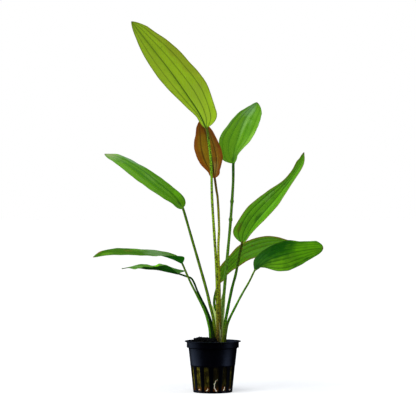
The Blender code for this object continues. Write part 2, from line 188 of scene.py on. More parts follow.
class Board:
    """One material, and the nodes that make it."""

    def __init__(self, name: str) -> None:
        """Start a material with its Principled shader."""
        self.material = bpy.data.materials.new(name)
        self.material.use_nodes = True
        self.tree = self.material.node_tree
        self.shader = self.tree.nodes["Principled BSDF"]

    def feed(self, socket: bpy.types.NodeSocket, value: Feed) -> None:
        """Link a wire to a socket, or set a constant on it.

        Args:
            socket: the socket.
            value: what it gets. A colour is given without its alpha.
        """
        if isinstance(value, Wire):
            self.tree.links.new(value.socket, socket)
        elif not is_number(value) and len(socket.default_value) == 4:
            socket.default_value = (*value, 1.0)
        else:
            socket.default_value = value

    def node(
        self, kind: str, settings: Mapping[str, Any] | None = None, values: Mapping[Any, Feed] | None = None,
        output: int | str = 0,
    ) -> Wire:
        """Add any node.

        Args:
            kind: the node's type.
            settings: its own settings, which are set first.
            values: what its sockets get, by name or number.
            output: the socket to read, by name or number.
        Returns:
            What that socket gives.
        """
        made = self.tree.nodes.new(kind)
        for name, setting in (settings or {}).items():
            setattr(made, name, setting)
        for name, value in (values or {}).items():
            self.feed(made.inputs[name], value)
        return Wire(self, made.outputs[output])

    def trait(self, name: str) -> Wire:
        """A number that the mesh holds at each point."""
        return self.node("ShaderNodeAttribute", {"attribute_name": name}, output="Fac")

    def place(self) -> Wire:
        """The point's own coordinates, in metres."""
        return self.node("ShaderNodeTexCoord", output="Object")

    def coordinate(self, axis: str) -> Wire:
        """The point's own X, Y or Z, in metres."""
        return self.node("ShaderNodeSeparateXYZ", None, {0: self.place()}, axis)

    def vector(self, x: Feed, y: Feed, z: Feed) -> Wire:
        """A vector of three numbers."""
        return self.node("ShaderNodeCombineXYZ", None, {0: x, 1: y, 2: z})

    def mix(self, first: Feed, second: Feed, share: Feed) -> Wire:
        """Mix two numbers or two colours.

        Args:
            first: what it is where the share is 0.
            second: what it is where the share is 1.
            share: the share of the second.
        Returns:
            The mix.
        """
        numbers = is_number(first) and is_number(second)
        kind, places, output = ("FLOAT", (2, 3), 0) if numbers else ("RGBA", (6, 7), 2)
        sides = {0: share, places[0]: first, places[1]: second}
        return self.node("ShaderNodeMix", {"data_type": kind}, sides, output)

    def noise(self, size: float, detail: float = 2.0, rough: float = 0.5, place: Wire | None = None) -> Wire:
        """Soft random cloud.

        Args:
            size: how large its patches are, in millimetres, or in the place's own units.
            detail: how many finer layers it has.
            rough: how strong those are.
            place: where it is read, if not at the point's own coordinates.
        Returns:
            A number about 0.5, from 0 to 1.
        """
        scale = 1.0 / size if place else 1.0 / (size * MM)
        values = {"Vector": place or self.place(), "Scale": scale, "Detail": detail, "Roughness": rough}
        return self.node("ShaderNodeTexNoise", None, values)

    def cells(self, size: float) -> Wire:
        """Distance from the middle of the nearest of many random cells.

        Args:
            size: how large the cells are, in millimetres.
        Returns:
            A number from 0 in a cell's middle to about 0.7 at its edge.
        """
        values = {"Vector": self.place(), "Scale": 1.0 / (size * MM)}
        return self.node("ShaderNodeTexVoronoi", None, values, "Distance")

    def relief(self, height: Wire, depth: float) -> Wire:
        """The normal of fine relief, whose height is 0 to 1 and whose depth is in millimetres."""
        return self.node("ShaderNodeBump", None, {"Distance": depth * MM, "Height": height})

    def dress(self, **sockets: Feed) -> bpy.types.Material:
        """Set the Principled shader's sockets.

        Args:
            sockets: what they get, by name, with _ for the spaces.
        Returns:
            The material.
        """
        for name, value in sockets.items():
            self.feed(self.shader.inputs[name.replace("_", " ")], value)
        return self.material


def smooth_route(points: Route, count: int, pieces: int = 24) -> np.ndarray:
    """Evenly spaced points on a smooth curve through the given ones.

    Args:
        points: what the curve goes through.
        count: how many points to give.
        pieces: how finely each stretch is worked out.
    Returns:
        An array of the points.
    """
    knots = np.array(points, float)
    ends = np.vstack([2 * knots[0] - knots[1], knots, 2 * knots[-1] - knots[-2]])
    u = np.linspace(0.0, 1.0, pieces, endpoint=False)[:, None]
    fine = [
        (2 * b + (c - a) * u + (2 * a - 5 * b + 4 * c - d) * u**2 + (3 * b - a - 3 * c + d) * u**3) / 2
        for a, b, c, d in zip(ends, ends[1:], ends[2:], ends[3:])
    ]
    line = np.vstack([*fine, knots[-1:]])
    run = np.append(0.0, np.cumsum(np.linalg.norm(np.diff(line, axis=0), axis=1)))
    where = np.linspace(0.0, run[-1], count)
    return np.column_stack([np.interp(where, run, line[:, k]) for k in range(line.shape[1])])


def line_length(line: np.ndarray) -> float:
    """The length of a line of points."""
    return np.linalg.norm(np.diff(line, axis=0), axis=1).sum()


def unit(vectors: np.ndarray) -> np.ndarray:
    """The directions of vectors, which are rows of an array's last axis."""
    return vectors / np.linalg.norm(vectors, axis=-1, keepdims=True)


def at_share(line: np.ndarray, share: np.ndarray) -> np.ndarray:
    """Points at shares of an evenly spaced line's length."""
    where = np.clip(share, 0.0, 1.0) * (len(line) - 1)
    knots = np.arange(len(line))
    return np.stack([np.interp(where, knots, line[:, k]) for k in range(line.shape[1])], axis=-1)


def scaled(vectors: np.ndarray, sizes: np.ndarray) -> np.ndarray:
    """A grid of vectors: each row's one vector, times that row's sizes."""
    return vectors[:, None, :] * sizes[:, :, None]


def full_turn(steps: int) -> np.ndarray:
    """Evenly spaced angles of a full turn, in radians."""
    return np.linspace(0.0, math.tau, steps, endpoint=False)


def turned(radius: np.ndarray, angle: np.ndarray, height: np.ndarray) -> np.ndarray:
    """Points round the Z axis, from arrays of any shapes that fit each other."""
    return np.stack(np.broadcast_arrays(radius * np.cos(angle), radius * np.sin(angle), height), axis=-1)


def grid_faces(
    rows: int, columns: int, start: int = 0, around: bool = False, flip: bool = False
) -> np.ndarray:
    """The faces of a grid of points that are stored row by row.

    Args:
        rows, columns: how many points it has each way.
        start: the first point's number.
        around: whether each row closes on itself.
        flip: whether the faces look the other way.
    Returns:
        An array of faces with four corners.
    """
    steps = columns if around else columns - 1
    row, column = np.meshgrid(np.arange(rows - 1), np.arange(steps), indexing="ij")
    here, below = row * columns, (row + 1) * columns
    after = (column + 1) % columns
    faces = np.stack([here + column, here + after, below + after, below + column], axis=-1).reshape(-1, 4)
    return start + (faces[:, ::-1] if flip else faces)


def capped_rings(rings: np.ndarray, first: float, last: float, flip: bool = False) -> Mesh:
    """A closed body of rings round the Z axis, with a fan of faces at each end.

    Args:
        rings: the points, ring by ring.
        first, last: the heights of the fans' middles.
        flip: whether the faces look the other way.
    Returns:
        Its points and its faces.
    """
    count, steps = rings.shape[:2]
    points = np.vstack([rings.reshape(-1, 3), [0.0, 0.0, first], [0.0, 0.0, last]])
    faces = grid_faces(count, steps, around=True, flip=flip).tolist()
    end = (count - 1) * steps
    for step in range(steps):
        after = (step + 1) % steps
        here, there = (step, after) if flip else (after, step)
        faces.append([len(points) - 2, here, there])
        faces.append([len(points) - 1, end + there, end + here])
    return points, faces


def across_line(along: np.ndarray, normal: np.ndarray) -> Across:
    """Two directions across a line, which turn no more than the line does.

    Args:
        along: the line's direction at each point.
        normal: about where the first of the two looks at the start.
    Returns:
        Both directions at each point.
    """
    normals = []
    for way in along:
        normal = unit(normal - way * np.dot(normal, way))
        normals.append(normal)
    return np.array(normals), np.cross(along, np.array(normals))


def tube(line: np.ndarray, across: Across, angle: np.ndarray, radius: np.ndarray, start: int = 0) -> Mesh:
    """A closed tube round a line.

    Args:
        line: the points it follows.
        across: two directions across the line at each.
        angle: where the corners of its rings are, from the first of the two.
        radius: the rings' radii, as rows of one or of one for each corner.
        start: the number of its first point.
    Returns:
        Its points and its faces.
    """
    normal, other = across
    points = line[:, None, :] + scaled(normal, np.cos(angle) * radius) + scaled(other, np.sin(angle) * radius)
    rings, sides = len(line), len(angle)
    faces = grid_faces(rings, sides, start, around=True).tolist()
    last = start + (rings - 1) * sides
    faces.append(list(range(start + sides - 1, start - 1, -1)))
    faces.append(list(range(last, last + sides)))
    return points.reshape(-1, 3), faces


def thin_tube(line: np.ndarray, radius: np.ndarray, sides: int, start: int = 0) -> Mesh:
    """A closed round tube along a line.

    Args:
        line: the points it follows.
        radius: its radius at each.
        sides: how many sides it has.
        start: the number of its first point.
    Returns:
        Its points and its faces.
    """
    along = unit(np.gradient(line, axis=0))
    upright = abs(along[0][2]) >= 0.9
    across = across_line(along, np.array([1.0, 0.0, 0.0] if upright else [0.0, 0.0, 1.0]))
    return tube(line, across, full_turn(sides), radius[:, None], start)


def sheet_points(middle: np.ndarray, out: np.ndarray, upper: np.ndarray, lower: np.ndarray) -> np.ndarray:
    """The points of a thin sheet's upper side, and then of its lower side.

    Args:
        middle: the grid of points between them.
        out: where the upper side looks at each.
        upper, lower: how far each side is from the middle.
    Returns:
        The points.
    """
    sides = (middle + out * upper[:, :, None], middle - out * lower[:, :, None])
    return np.vstack([side.reshape(-1, 3) for side in sides])


def sheet_faces(rows: int, columns: int, flip: bool = False) -> list[list[int]]:
    """The faces of a thin closed sheet, whose points are the upper side's and then the lower side's.

    Args:
        rows, columns: how many points each side has each way.
        flip: whether the faces look the other way.
    Returns:
        The faces.
    """
    count = rows * columns
    numbers = np.arange(count).reshape(rows, columns)
    edge = np.concatenate([numbers[0, :-1], numbers[:-1, -1], numbers[-1, :0:-1], numbers[:0:-1, 0]])
    after = np.roll(edge, -1)
    rim = np.stack([edge, edge + count, after + count, after], axis=1)
    faces = np.vstack([grid_faces(rows, columns), grid_faces(rows, columns, count, flip=True), rim])
    return (faces[:, ::-1] if flip else faces).tolist()


def add_object(name: str, data: bpy.types.ID) -> bpy.types.Object:
    """An object in the scene, with its mesh, light or camera."""
    obj = bpy.data.objects.new(name, data)
    bpy.context.scene.collection.objects.link(obj)
    return obj


def mesh_piece(
    name: str, points: np.ndarray, faces: list[list[int]], traits: Mapping[str, np.ndarray] | None = None
) -> bpy.types.Object:
    """An object from points and faces, shaded smooth.

    Args:
        name: the object's name.
        points: its points, in millimetres.
        faces: its faces, as numbers of points.
        traits: numbers that each point holds.
    Returns:
        The object.
    """
    mesh = bpy.data.meshes.new(name)
    mesh.from_pydata((points * MM).reshape(-1, 3).tolist(), [], faces)
    mesh.shade_smooth()
    for trait, numbers in (traits or {}).items():
        held = mesh.attributes.new(trait, "FLOAT", "POINT")
        held.data.foreach_set("value", np.ravel(numbers).astype(np.float32))
    return add_object(name, mesh)


def hand_over(obj: bpy.types.Object, material: bpy.types.Material, node: str) -> None:
    """Dress a finished piece and fix it to the plant.

    Args:
        obj: the piece.
        material: its own material.
        node: the CAD node that the piece stands for.
    """
    obj.data.materials.append(material)
    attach(obj, "root")
    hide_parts(node)
    log.info("%s: %d faces, for %s", obj.name, len(obj.data.polygons), node)


# Leaves

WIDTH_PLACES = (0.1, 0.3, 0.5, 0.7, 0.9)  # shares of the blade's length
BASE_ROUNDING = 0.1
LOBE_REACH = 0.25
TIP_TAPER = 0.1
LEAST_AT_BASE = 1.0  # the half blade's least width
LEAST_AT_TIP = 0.5
STALK_FOOT = 49.3
TANGENT_REACH = 0.024  # share of the blade over which its direction is read
CREASE = 1.2  # how wide the fold along the midrib is rounded
FAN_REACH = 0.07  # share of the blade over which the veins spread from the stalk
FAN_POWER = 3.0
CROWN_CENTRE = (4.6, -0.8)
# The stalks' dark brown feet: soil stain, and painted shade where they meet the soil.
SOIL_STAIN_AND_SHADE = chip(20, 12, 2)
GRAZED_WIDTH = 8.0  # half blades under this width have smaller nibbles
QUILTED_WIDTH = 14.0  # and under this one a flatter quilt
EVEN_STRANDS = 19
EXTRA_STRANDS = frozenset((0.012, 0.025, 0.04, 0.09, 0.975))  # for the midrib's sides and the margin
VEIN_STRANDS = (-0.035, -0.015, 0.0, 0.015, 0.035)
VEIN_CLEARANCE = 0.04
STRAND_GAP = 0.008
SHEET_HALF = 0.19  # half the blade's thickness between its veins
VEIN_HALF = 0.32  # half a side vein's width
VEIN_DIP = 0.06  # how deep a side vein lies in the upper side
VEIN_RISE = 0.14  # and how far it stands out of the underside
RIB_LEAST = 0.16  # the midrib's height at the tip
RUN_IN = 0.12  # share of the midrib's first stretch that the stalk goes on along
NECK = 0.015  # share of the stalk over which its end tapers


def vein_strands(veins: Halves) -> tuple[float, ...]:
    """The side veins' strands, which are negative on the left half."""
    return (*(-place for place in veins[0]), *veins[1])


@dataclass(frozen=True)
class Mark:
    """A soft patch of another colour on one side of a blade: some are the blade's own tint, and some are
    painted shade, painted light and painted sheen.
    """

    share: float  # its middle's place along the blade
    strand: float  # and across it, from -1 at the left margin to 1
    long: float  # half its length, as a share of the blade's
    wide: float  # half its width, in strands
    colour: Colour
    strength: float = 0.8
    below: bool = False  # whether it is on the underside


@dataclass(frozen=True)
class LeafFinish:
    """A blade's skin: its upper side and underside, its veins, its margin and its tip."""

    upper: Colour
    under: Colour
    vein: Colour
    under_vein: Colour
    margin: Colour
    vein_share: float = 0.6
    vein_width: float = 1.0
    margin_width: float = 0.5
    margin_share: float = 0.4
    # The pale streaks of the upper side are partly the blade's waxy bloom and partly painted sheen.
    bloom_and_sheen: Colour = chip(128, 168, 104)  # pale streaks of the upper side
    bloom_and_sheen_share: float = 0.25
    shade: Colour = chip(25, 75, 8)  # dark streaks of the upper side
    shade_share: float = 0.4
    speckle: Colour = chip(70, 62, 10)
    speckle_share: float = 0.25
    speckle_step: float = 2.4  # how far apart the specks are
    rung: Colour = chip(30, 80, 6)
    rung_share: float = 0.08
    # Painted shade: the blade is darkened in the hollows beside its veins.
    vein_hollow_shade_share: float = 0.22  # how dark the blade is beside its veins
    tip: Colour = chip(70, 50, 15)
    tip_reach: float = 0.02
    gloss: float = 0.42
    shine: float = 0.22

    def material(self, name: str, veins: Halves, marks: Sequence[Mark]) -> bpy.types.Material:
        """Make the skin.

        Args:
            name: the leaf's name.
            veins: where the side veins of the left and right halves lie, 0 at the midrib and 1 at the margin.
            marks: the leaf's own marks.
        Returns:
            The material, which reads a blade's traits.
        """
        board = Board(name + "_skin")
        strand = board.trait("strand")
        spread = board.trait("spread")
        along = board.trait("along")
        share = board.trait("share")
        inside = board.trait("inside")
        side = board.trait("side")
        flow = board.vector(along * 0.03, strand * 5.0, side)
        streaks = board.noise(1.0, 3.0, 0.55, place=flow)
        patch = board.noise(9.0, 2.0)
        grain = board.noise(1.1, 3.0, 0.6)

        main = board.mix(self.under, self.upper, side)
        deep = board.mix(self.under_vein, self.shade, side)
        dark = board.mix(self.under_vein, self.vein, side)
        colour = main.toward(deep, (streaks * 0.6 + patch * 0.4).rise(0.46, 0.68) * self.shade_share)
        # Painted sheen: pale streaks on the upper side, partly the blade's waxy bloom.
        pale = streaks.rise(0.52, 0.34) * patch.rise(0.36, 0.62) * side
        colour = colour.toward(self.bloom_and_sheen, pale * self.bloom_and_sheen_share)
        for mark in marks:
            off_along = (share - mark.share) / mark.long
            off_across = (strand - mark.strand) / mark.wide
            near = (off_along * off_along + off_across * off_across + (patch - 0.5) * 2.4).rise(1.4, 0.0)
            colour = colour.toward(mark.colour, near * (1.0 - side if mark.below else side) * mark.strength)
        away = abs(strand) * spread
        lines = away.rise(0.55 * self.vein_width, 0.15)
        vein_hollow_shade = away.rise(2.4, 0.2)
        for place in vein_strands(veins):
            away = abs(strand - place) * spread
            lines = lines.or_more(away.rise(0.42 * self.vein_width, 0.08) * 0.8)
            vein_hollow_shade = vein_hollow_shade.or_more(away.rise(1.8, 0.1) * 0.6)
        rungs = self.rungs(board, along, strand, spread)
        # painted shade in the hollows beside the veins
        colour = colour.toward(dark, vein_hollow_shade * self.vein_hollow_shade_share)
        colour = colour.toward(self.rung, rungs * self.rung_share)
        colour = colour.toward(dark, lines * (1.15 - share * 0.6) * self.vein_share)
        colour = colour * (grain * 0.16 + 0.92)
        dots = board.cells(self.speckle_step).rise(0.26, 0.14) * patch.rise(0.44, 0.6)
        colour = colour.toward(self.speckle, dots * self.speckle_share)
        edge = inside.rise(self.margin_width * 1.6, self.margin_width * 0.3)
        colour = colour.toward(self.margin, edge * self.margin_share)
        colour = colour.toward(self.tip, share.rise(1 - self.tip_reach, 1.0))

        height = grain * 0.3 + streaks * 0.5 - rungs * 0.2
        return board.dress(
            Base_Color=colour, Roughness=patch * 0.12 + (self.gloss - 0.06),
            Normal=board.relief(height, 0.012), Specular_IOR_Level=self.shine, Subsurface_Weight=0.08,
            Subsurface_Radius=(0.6, 1.0, 0.25), Subsurface_Scale=0.0008,
        )

    @staticmethod
    def rungs(board: Board, along: Wire, strand: Wire, spread: Wire) -> Wire:
        """The fine cross veins, like a ladder's rungs between the long ones.

        Args:
            board: the material's nodes.
            along: how far the point is along the midrib, in millimetres.
            strand: which long fibre it is on, 0 at the midrib and 1 at the margin.
            spread: how far apart the fibres are there.
        Returns:
            1 on a rung, 0 between.
        """
        jitter = board.noise(5.0, 1.0) * 2.4
        run = (along * 0.42 - abs(strand) * spread * 0.5 + jitter) * math.pi
        return abs(run.sine()).rise(0.42, 0.05)


@dataclass(frozen=True)
class StalkFinish:
    """A stalk's skin from its foot to the blade, and its sheath's pale membrane."""

    foot: Colour
    middle: Colour
    top: Colour
    membrane: Colour = chip(146, 176, 84)
    hem: Colour = chip(206, 186, 150)  # the membrane's edge
    speckle: Colour = chip(30, 52, 4)
    speckle_share: float = 0.6
    # Painted shade: the stalk's side to the plant's middle is darkened, as that side gets less light.
    groove: Colour = chip(4, 50, 0)  # the side to the plant's middle
    groove_shade_share: float = 0.6
    stain_and_shade: float = 0.75  # how far the foot is darkened to dark brown: soil stain, and painted shade near the soil
    neck: Colour = chip(64, 58, 12)  # the stalk's end under the blade
    neck_share: float = 0.0
    turn: float = 0.35  # share of the length where the middle colour is reached

    def material(self, name: str) -> bpy.types.Material:
        """Make the skin, which reads a stalk's traits.

        Args:
            name: the leaf's name.
        Returns:
            The material.
        """
        board = Board(name + "_bark")
        share = board.trait("share")
        along = board.trait("along")
        turn = board.trait("turn")
        film = board.trait("film")
        patch = board.noise(3.0, 2.0)
        streaks = board.noise(1.0, 3.0, 0.6, place=board.vector(along * 0.12, turn * 9.0, 0.0))
        spots = board.noise(1.0, 2.0, 0.6, place=board.vector(along * 0.85, turn * 3.2, 1.0))
        colour = board.mix(self.foot, self.middle, share.rise(0.0, self.turn))
        colour = colour.toward(self.top, share.rise(self.turn, 1.0))
        colour = colour * (streaks * 0.9 + 0.55)
        # painted shade on the groove side, which faces the plant's middle
        inner = (abs(turn) + (streaks - 0.5) * 0.2).rise(0.4, 0.24)
        colour = colour.toward(self.groove, inner * share.rise(0.04, 0.2) * self.groove_shade_share)
        colour = colour.toward(self.speckle, spots.rise(0.48, 0.54) * self.speckle_share)
        colour = colour.toward(self.neck, (share + (patch - 0.5) * 0.1).rise(0.88, 0.97) * self.neck_share)
        sheer = board.mix(self.membrane, self.hem, film.rise(0.84, 1.0)) * (streaks * 0.4 + 0.8)
        colour = colour.toward(sheer, film.rise(0.02, 0.2))
        # soil stain, and painted shade low on the stalk
        colour = colour.toward(SOIL_STAIN_AND_SHADE, (along + patch * 12.0).rise(24.0, 9.0) * self.stain_and_shade)
        height = streaks * 0.7 + spots * 0.4
        return board.dress(
            Base_Color=colour, Roughness=spots * 0.2 + 0.32, Normal=board.relief(height, 0.1),
            Specular_IOR_Level=0.2, Subsurface_Weight=0.1, Subsurface_Radius=(0.8, 1.0, 0.3),
            Subsurface_Scale=0.001,
        )


@dataclass(frozen=True)
class Sheath:
    """The open foot of a stalk: a thin membrane along each side of its groove."""

    reach: float = 22.0  # how far up the stalk it goes
    left: float = 0.9  # how far the left membrane stands out, seen from outside with the tip up
    right: float = 0.9
    lean: tuple[float, float] = (1.05, 0.5)  # its direction at its root and at its edge, from the groove's
    thick: float = 0.22
    least: float = 0.05  # the membrane's least width
    root_angle: float = 1.25  # from the groove to where the membrane leaves the stalk
    root_depth: float = 0.9  # where that is, as a share of the stalk's radius
    begins: float = 0.012  # share of the stalk under the membrane
    rows: int = 40
    columns: int = 10

    def sheet(
        self, sign: int, route: np.ndarray, radius: np.ndarray, across: Across, length: float
    ) -> tuple[np.ndarray, list[list[int]], np.ndarray]:
        """One membrane.

        Args:
            sign: -1 for the left one, 1 for the right one.
            route: the stalk's middle line.
            radius: its radius along it.
            across: the groove's direction along it, and the direction across that.
            length: the stalk's length.
        Returns:
            The points, the faces and how far out each point is, from 0 to 1.
        """
        t = np.linspace(self.begins, self.reach / length, self.rows)
        up = (t - t[0]) / (t[-1] - t[0])
        width = (self.left if sign < 0 else self.right) * (1.0 - up**2.5) ** 0.8
        width = np.maximum(width * (1.0 + 0.07 * np.sin(31 * up + sign) + 0.04 * np.sin(67 * up)), self.least)
        size = np.interp(t, np.linspace(0, 1, len(radius)), radius)
        inward, aside = (unit(at_share(way, t)) for way in across)
        aside = aside * sign
        out = np.linspace(0.0, 1.0, self.columns)
        lean = np.interp(out, (0.0, 1.0), self.lean)[None, :]
        root = inward * math.cos(self.root_angle) + aside * math.sin(self.root_angle)
        start = at_share(route, t) + root * (size * self.root_depth)[:, None]
        way = scaled(inward, np.cos(lean)) + scaled(aside, np.sin(lean))
        face = scaled(inward, np.sin(lean)) - scaled(aside, np.cos(lean))
        steps = way * (width / (self.columns - 1))[:, None, None]
        middle = start[:, None, :] + np.cumsum(steps, axis=1) - steps[:, :1]
        half = self.thick / 2 * (1.0 - 0.7 * out**2)[None, :]
        film = np.tile(0.15 + 0.85 * out, 2 * self.rows)
        faces = sheet_faces(self.rows, self.columns, flip=sign > 0)
        return sheet_points(middle, face, half, half), faces, film


@dataclass
class Leaf:
    """A leaf: its stalk from the crown, then its blade along the midrib.

    The stalk's first point gives its place on the crown. A blade's left and right are its own,
    with its upper side seen and its tip up.
    """

    name: str
    stalk: Route
    rib: Route
    facing: tuple[Point, Point]  # where the upper side looks, at the blade's base and at its tip
    left: Sequence[float]  # the left half's width at each of the width places
    right: Sequence[float]
    thick: tuple[float, float]  # the stalk's radius at the crown and at the blade
    fold: tuple[float, float, float]  # degrees each half rises at the base and the tip, and how soon
    skin: LeafFinish
    bark: StalkFinish
    lobes: tuple[float, float] = (0.0, 0.0)  # how far each half reaches back beside the stalk
    tip: float = 0.7  # how blunt the tip is: less is blunter
    ripple: tuple[float, float, float] = (0.0, 0.0, 0.0)  # the margin's large waves: height, number, start
    left_fold: Sequence[Point] = ()  # the left half's own rise, as places and degrees
    right_fold: Sequence[Point] = ()
    veins: Halves = ((0.36, 0.7), (0.36, 0.7))
    marks: Sequence[Mark] = ()
    ruffle: float = 0.12  # height of the margin's small waves
    quilt: float = 0.25  # how far the blade swells between its veins
    nibble: float = 0.15  # how far the margin wanders in and out
    sheath: Sheath = Sheath()
    knots: Sequence[Point] = ()  # small swellings, as shares of the stalk and heights
    slot: Slot = Slot.LEAF
    rows: int = 180  # points along the blade
    rings: int = 140  # and along the stalk
    sides: int = 28  # points round the stalk

    def seed(self) -> float:
        """A number of the leaf's own, for waves that differ from leaf to leaf."""
        return sum(ord(letter) for letter in self.name) * 0.37

    def build(self) -> None:
        """Build the blade and the stalk."""
        skin = self.skin.material(self.name, self.veins, self.marks)
        hand_over(self.blade(), skin, self.name + "_leaf")
        hand_over(self.stem(), self.bark.material(self.name), self.name + "_stalk")

    def half_width(self, widths: Sequence[float], t: np.ndarray) -> np.ndarray:
        """A half blade's width along it.

        Args:
            widths: its width at each of the width places.
            t: shares of the blade's length.
        Returns:
            The widths there, round at the base and closed at the tip.
        """
        curve = smooth_route([(place, width, 0.0) for place, width in zip(WIDTH_PLACES, widths)], 120)
        width = np.interp(t, curve[:, 0], curve[:, 1])
        base = np.sqrt(1.0 - (1.0 - np.minimum(t / BASE_ROUNDING, 1.0)) ** 2)
        tip = np.minimum((1.0 - t) / TIP_TAPER, 1.0) ** self.tip
        return np.maximum(width * base * tip, LEAST_AT_BASE + (LEAST_AT_TIP - LEAST_AT_BASE) * t)

    def strands(self) -> np.ndarray:
        """The long fibres that the mesh follows, from -1 at the left margin to 1 at the right one."""
        found = set()
        for sign, veins in zip((-1, 1), self.veins):
            half = set(np.linspace(0.0, 1.0, EVEN_STRANDS)) | EXTRA_STRANDS
            for vein in veins:
                half = {place for place in half if abs(place - vein) > VEIN_CLEARANCE}
                half |= {vein + step for step in VEIN_STRANDS}
            last = -1.0
            for place in sorted(half):
                if place - last > STRAND_GAP:
                    found.add(sign * place)
                    last = place
        return np.array(sorted(found))

    def rises(self, t: np.ndarray, u: np.ndarray) -> np.ndarray:
        """How steeply each half rises, in radians, in rows along the blade.

        Args:
            t: shares of the blade's length.
            u: the strands.
        Returns:
            The angles.
        """
        at_base, at_tip, power = self.fold
        halves = []
        for own in (self.left_fold, self.right_fold):
            if own:
                curve = smooth_route([(place, degrees, 0.0) for place, degrees in own], 200)
                halves.append(np.interp(t, curve[:, 0], curve[:, 1]))
            else:
                halves.append(at_tip + (at_base - at_tip) * (1.0 - t) ** power)
        return np.radians(np.where(u[None, :] < 0, halves[0][:, None], halves[1][:, None]))

    def blade(self) -> bpy.types.Object:
        """The blade: a thin closed sheet with a midrib, side veins and a swell between them."""
        t = (1.0 - np.cos(np.pi * np.linspace(0.0, 1.0, self.rows))) / 2
        u = self.strands()
        row, strand, flip = t[:, None], np.abs(u)[None, :], np.sign(u)[None, :]
        line = smooth_route(self.rib, 256)
        along = unit(at_share(line, t + TANGENT_REACH) - at_share(line, t - TANGENT_REACH))
        base, end = (np.array(way, float) for way in self.facing)
        facing = base * (1.0 - row) + end * row
        up = unit(facing - along * np.sum(facing * along, axis=1, keepdims=True))
        right = np.cross(along, up)

        fan = 1.0 - np.exp(-row / FAN_REACH)
        side = fan * strand + (1.0 - fan) * strand**FAN_POWER
        opening = fan + (1.0 - fan) * FAN_POWER * strand ** (FAN_POWER - 1.0)
        on_right = u[None, :] > 0
        widths = [self.half_width(half, t)[:, None] for half in (self.left, self.right)]
        width = np.where(on_right, widths[1], widths[0])
        reach = self.reach(row, side, flip, width)
        rise = self.rises(t, u)
        lift = (np.sqrt(reach**2 + CREASE**2) - CREASE) * np.sin(rise) + self.waves(row, u, side, flip, width)
        most = np.where(on_right, max(self.right), max(self.left))
        lobe = np.where(on_right, self.lobes[1], self.lobes[0])
        back = lobe * (reach / most) ** 2 * np.maximum(0.0, 1.0 - row / LOBE_REACH) ** 2

        out = scaled(up, np.cos(rise)) - scaled(right, flip * np.sin(rise))
        middle = at_share(line, t)[:, None, :] + scaled(right, flip * reach * np.cos(rise))
        middle = middle + scaled(up, lift) - scaled(along, back)
        spread = width * opening
        ones = np.ones(side.shape)
        traits = {
            "strand": u[None, :] * ones, "spread": spread, "along": row * line_length(line) * ones,
            "share": row * ones, "inside": width * (1.0 - side),
        }
        both = {name: np.tile(numbers.ravel(), 2) for name, numbers in traits.items()}
        both["side"] = np.repeat((1.0, 0.0), side.size)
        points = sheet_points(middle, out, *self.skins(row, u, side, width, spread))
        return mesh_piece(self.name + "_blade", points, sheet_faces(*side.shape), both)

    def reach(self, row: np.ndarray, side: np.ndarray, flip: np.ndarray, width: np.ndarray) -> np.ndarray:
        """How far each point is from the midrib, on the blade's own surface.

        Args:
            row: shares of the blade's length, as a column.
            side: shares of the half blade's width.
            flip: -1 on the left half and 1 on the right one.
            width: the half blade's width.
        Returns:
            The distances, with a margin that wanders in and out.
        """
        seed = self.seed()
        nibble = self.nibble * (np.sin(17 * row + seed) + 0.5 * np.sin(41 * row + 2 * seed))
        return width * side + side**4 * nibble * flip * np.minimum(width / GRAZED_WIDTH, 1.0)

    def waves(
        self, row: np.ndarray, u: np.ndarray, side: np.ndarray, flip: np.ndarray, width: np.ndarray
    ) -> np.ndarray:
        """How far the margin's waves and the quilt between the veins lift each point.

        Args:
            row: shares of the blade's length, as a column.
            u: the strands.
            side: shares of the half blade's width.
            flip: -1 on the left half and 1 on the right one.
            width: the half blade's width.
        Returns:
            The heights.
        """
        seed = self.seed()
        height, count, start = self.ripple
        large = height * side**2 * np.sin(math.tau * (count * row + start + u[None, :] / 4))
        opened = np.sin(np.pi * np.clip(row, 0.0, 1.0)) ** 0.6
        beat = np.sin(math.tau * (5.3 * row + seed + 0.3 * flip))
        beat = beat + 0.5 * np.sin(math.tau * (9.1 * row + 1.7 * seed - 0.2 * flip))
        small = self.ruffle * side**3 * opened * beat
        return large + small + self.quilt * opened * self.swell(u) * np.minimum(width / QUILTED_WIDTH, 1.0)

    def swell(self, u: np.ndarray) -> np.ndarray:
        """How far the blade swells on each strand: round between veins, and lowest on them."""
        swell = np.zeros(len(u))
        for sign, veins in zip((-1, 1), self.veins):
            bounds = np.array((0.0, *veins, 1.15))
            here = np.flatnonzero(u * sign >= 0)
            strand = u[here] * sign
            strip = np.clip(np.searchsorted(bounds, strand, side="right") - 1, 0, len(bounds) - 2)
            inside = (strand - bounds[strip]) / (bounds[strip + 1] - bounds[strip])
            swell[here] = np.sin(np.pi * inside) ** 0.8 - 0.25
        return swell[None, :]

    def skins(
        self, row: np.ndarray, u: np.ndarray, side: np.ndarray, width: np.ndarray, spread: np.ndarray
    ) -> tuple[np.ndarray, np.ndarray]:
        """How far the upper side and the underside stand off the blade's middle.

        Args:
            row: shares of the blade's length, as a column.
            u: the strands.
            side: shares of the half blade's width.
            width: the half blade's width.
            spread: how far apart the strands are.
        Returns:
            Both distances, with the midrib and the veins standing out below.
        """
        sheet = SHEET_HALF * (1.0 - 0.6 * side**8)
        rib = self.thick[1] * 0.9 * (1.0 - row) ** 1.4 + RIB_LEAST
        ridge = rib * np.exp(-((side * width / (0.85 * rib + 0.1)) ** 2))
        away = (u[None, :, None] - np.array(vein_strands(self.veins))[None, None, :]) * spread[:, :, None]
        veins = np.exp(-((away / VEIN_HALF) ** 2)).sum(axis=2)
        veins = veins * np.minimum(np.sin(np.pi * np.clip(row, 0.0, 1.0)) * 2.0, 1.0)
        joint = np.exp(-((row / 0.03) ** 2))
        return sheet - VEIN_DIP * veins + ridge * (0.75 * joint - 0.1), sheet + VEIN_RISE * veins + ridge

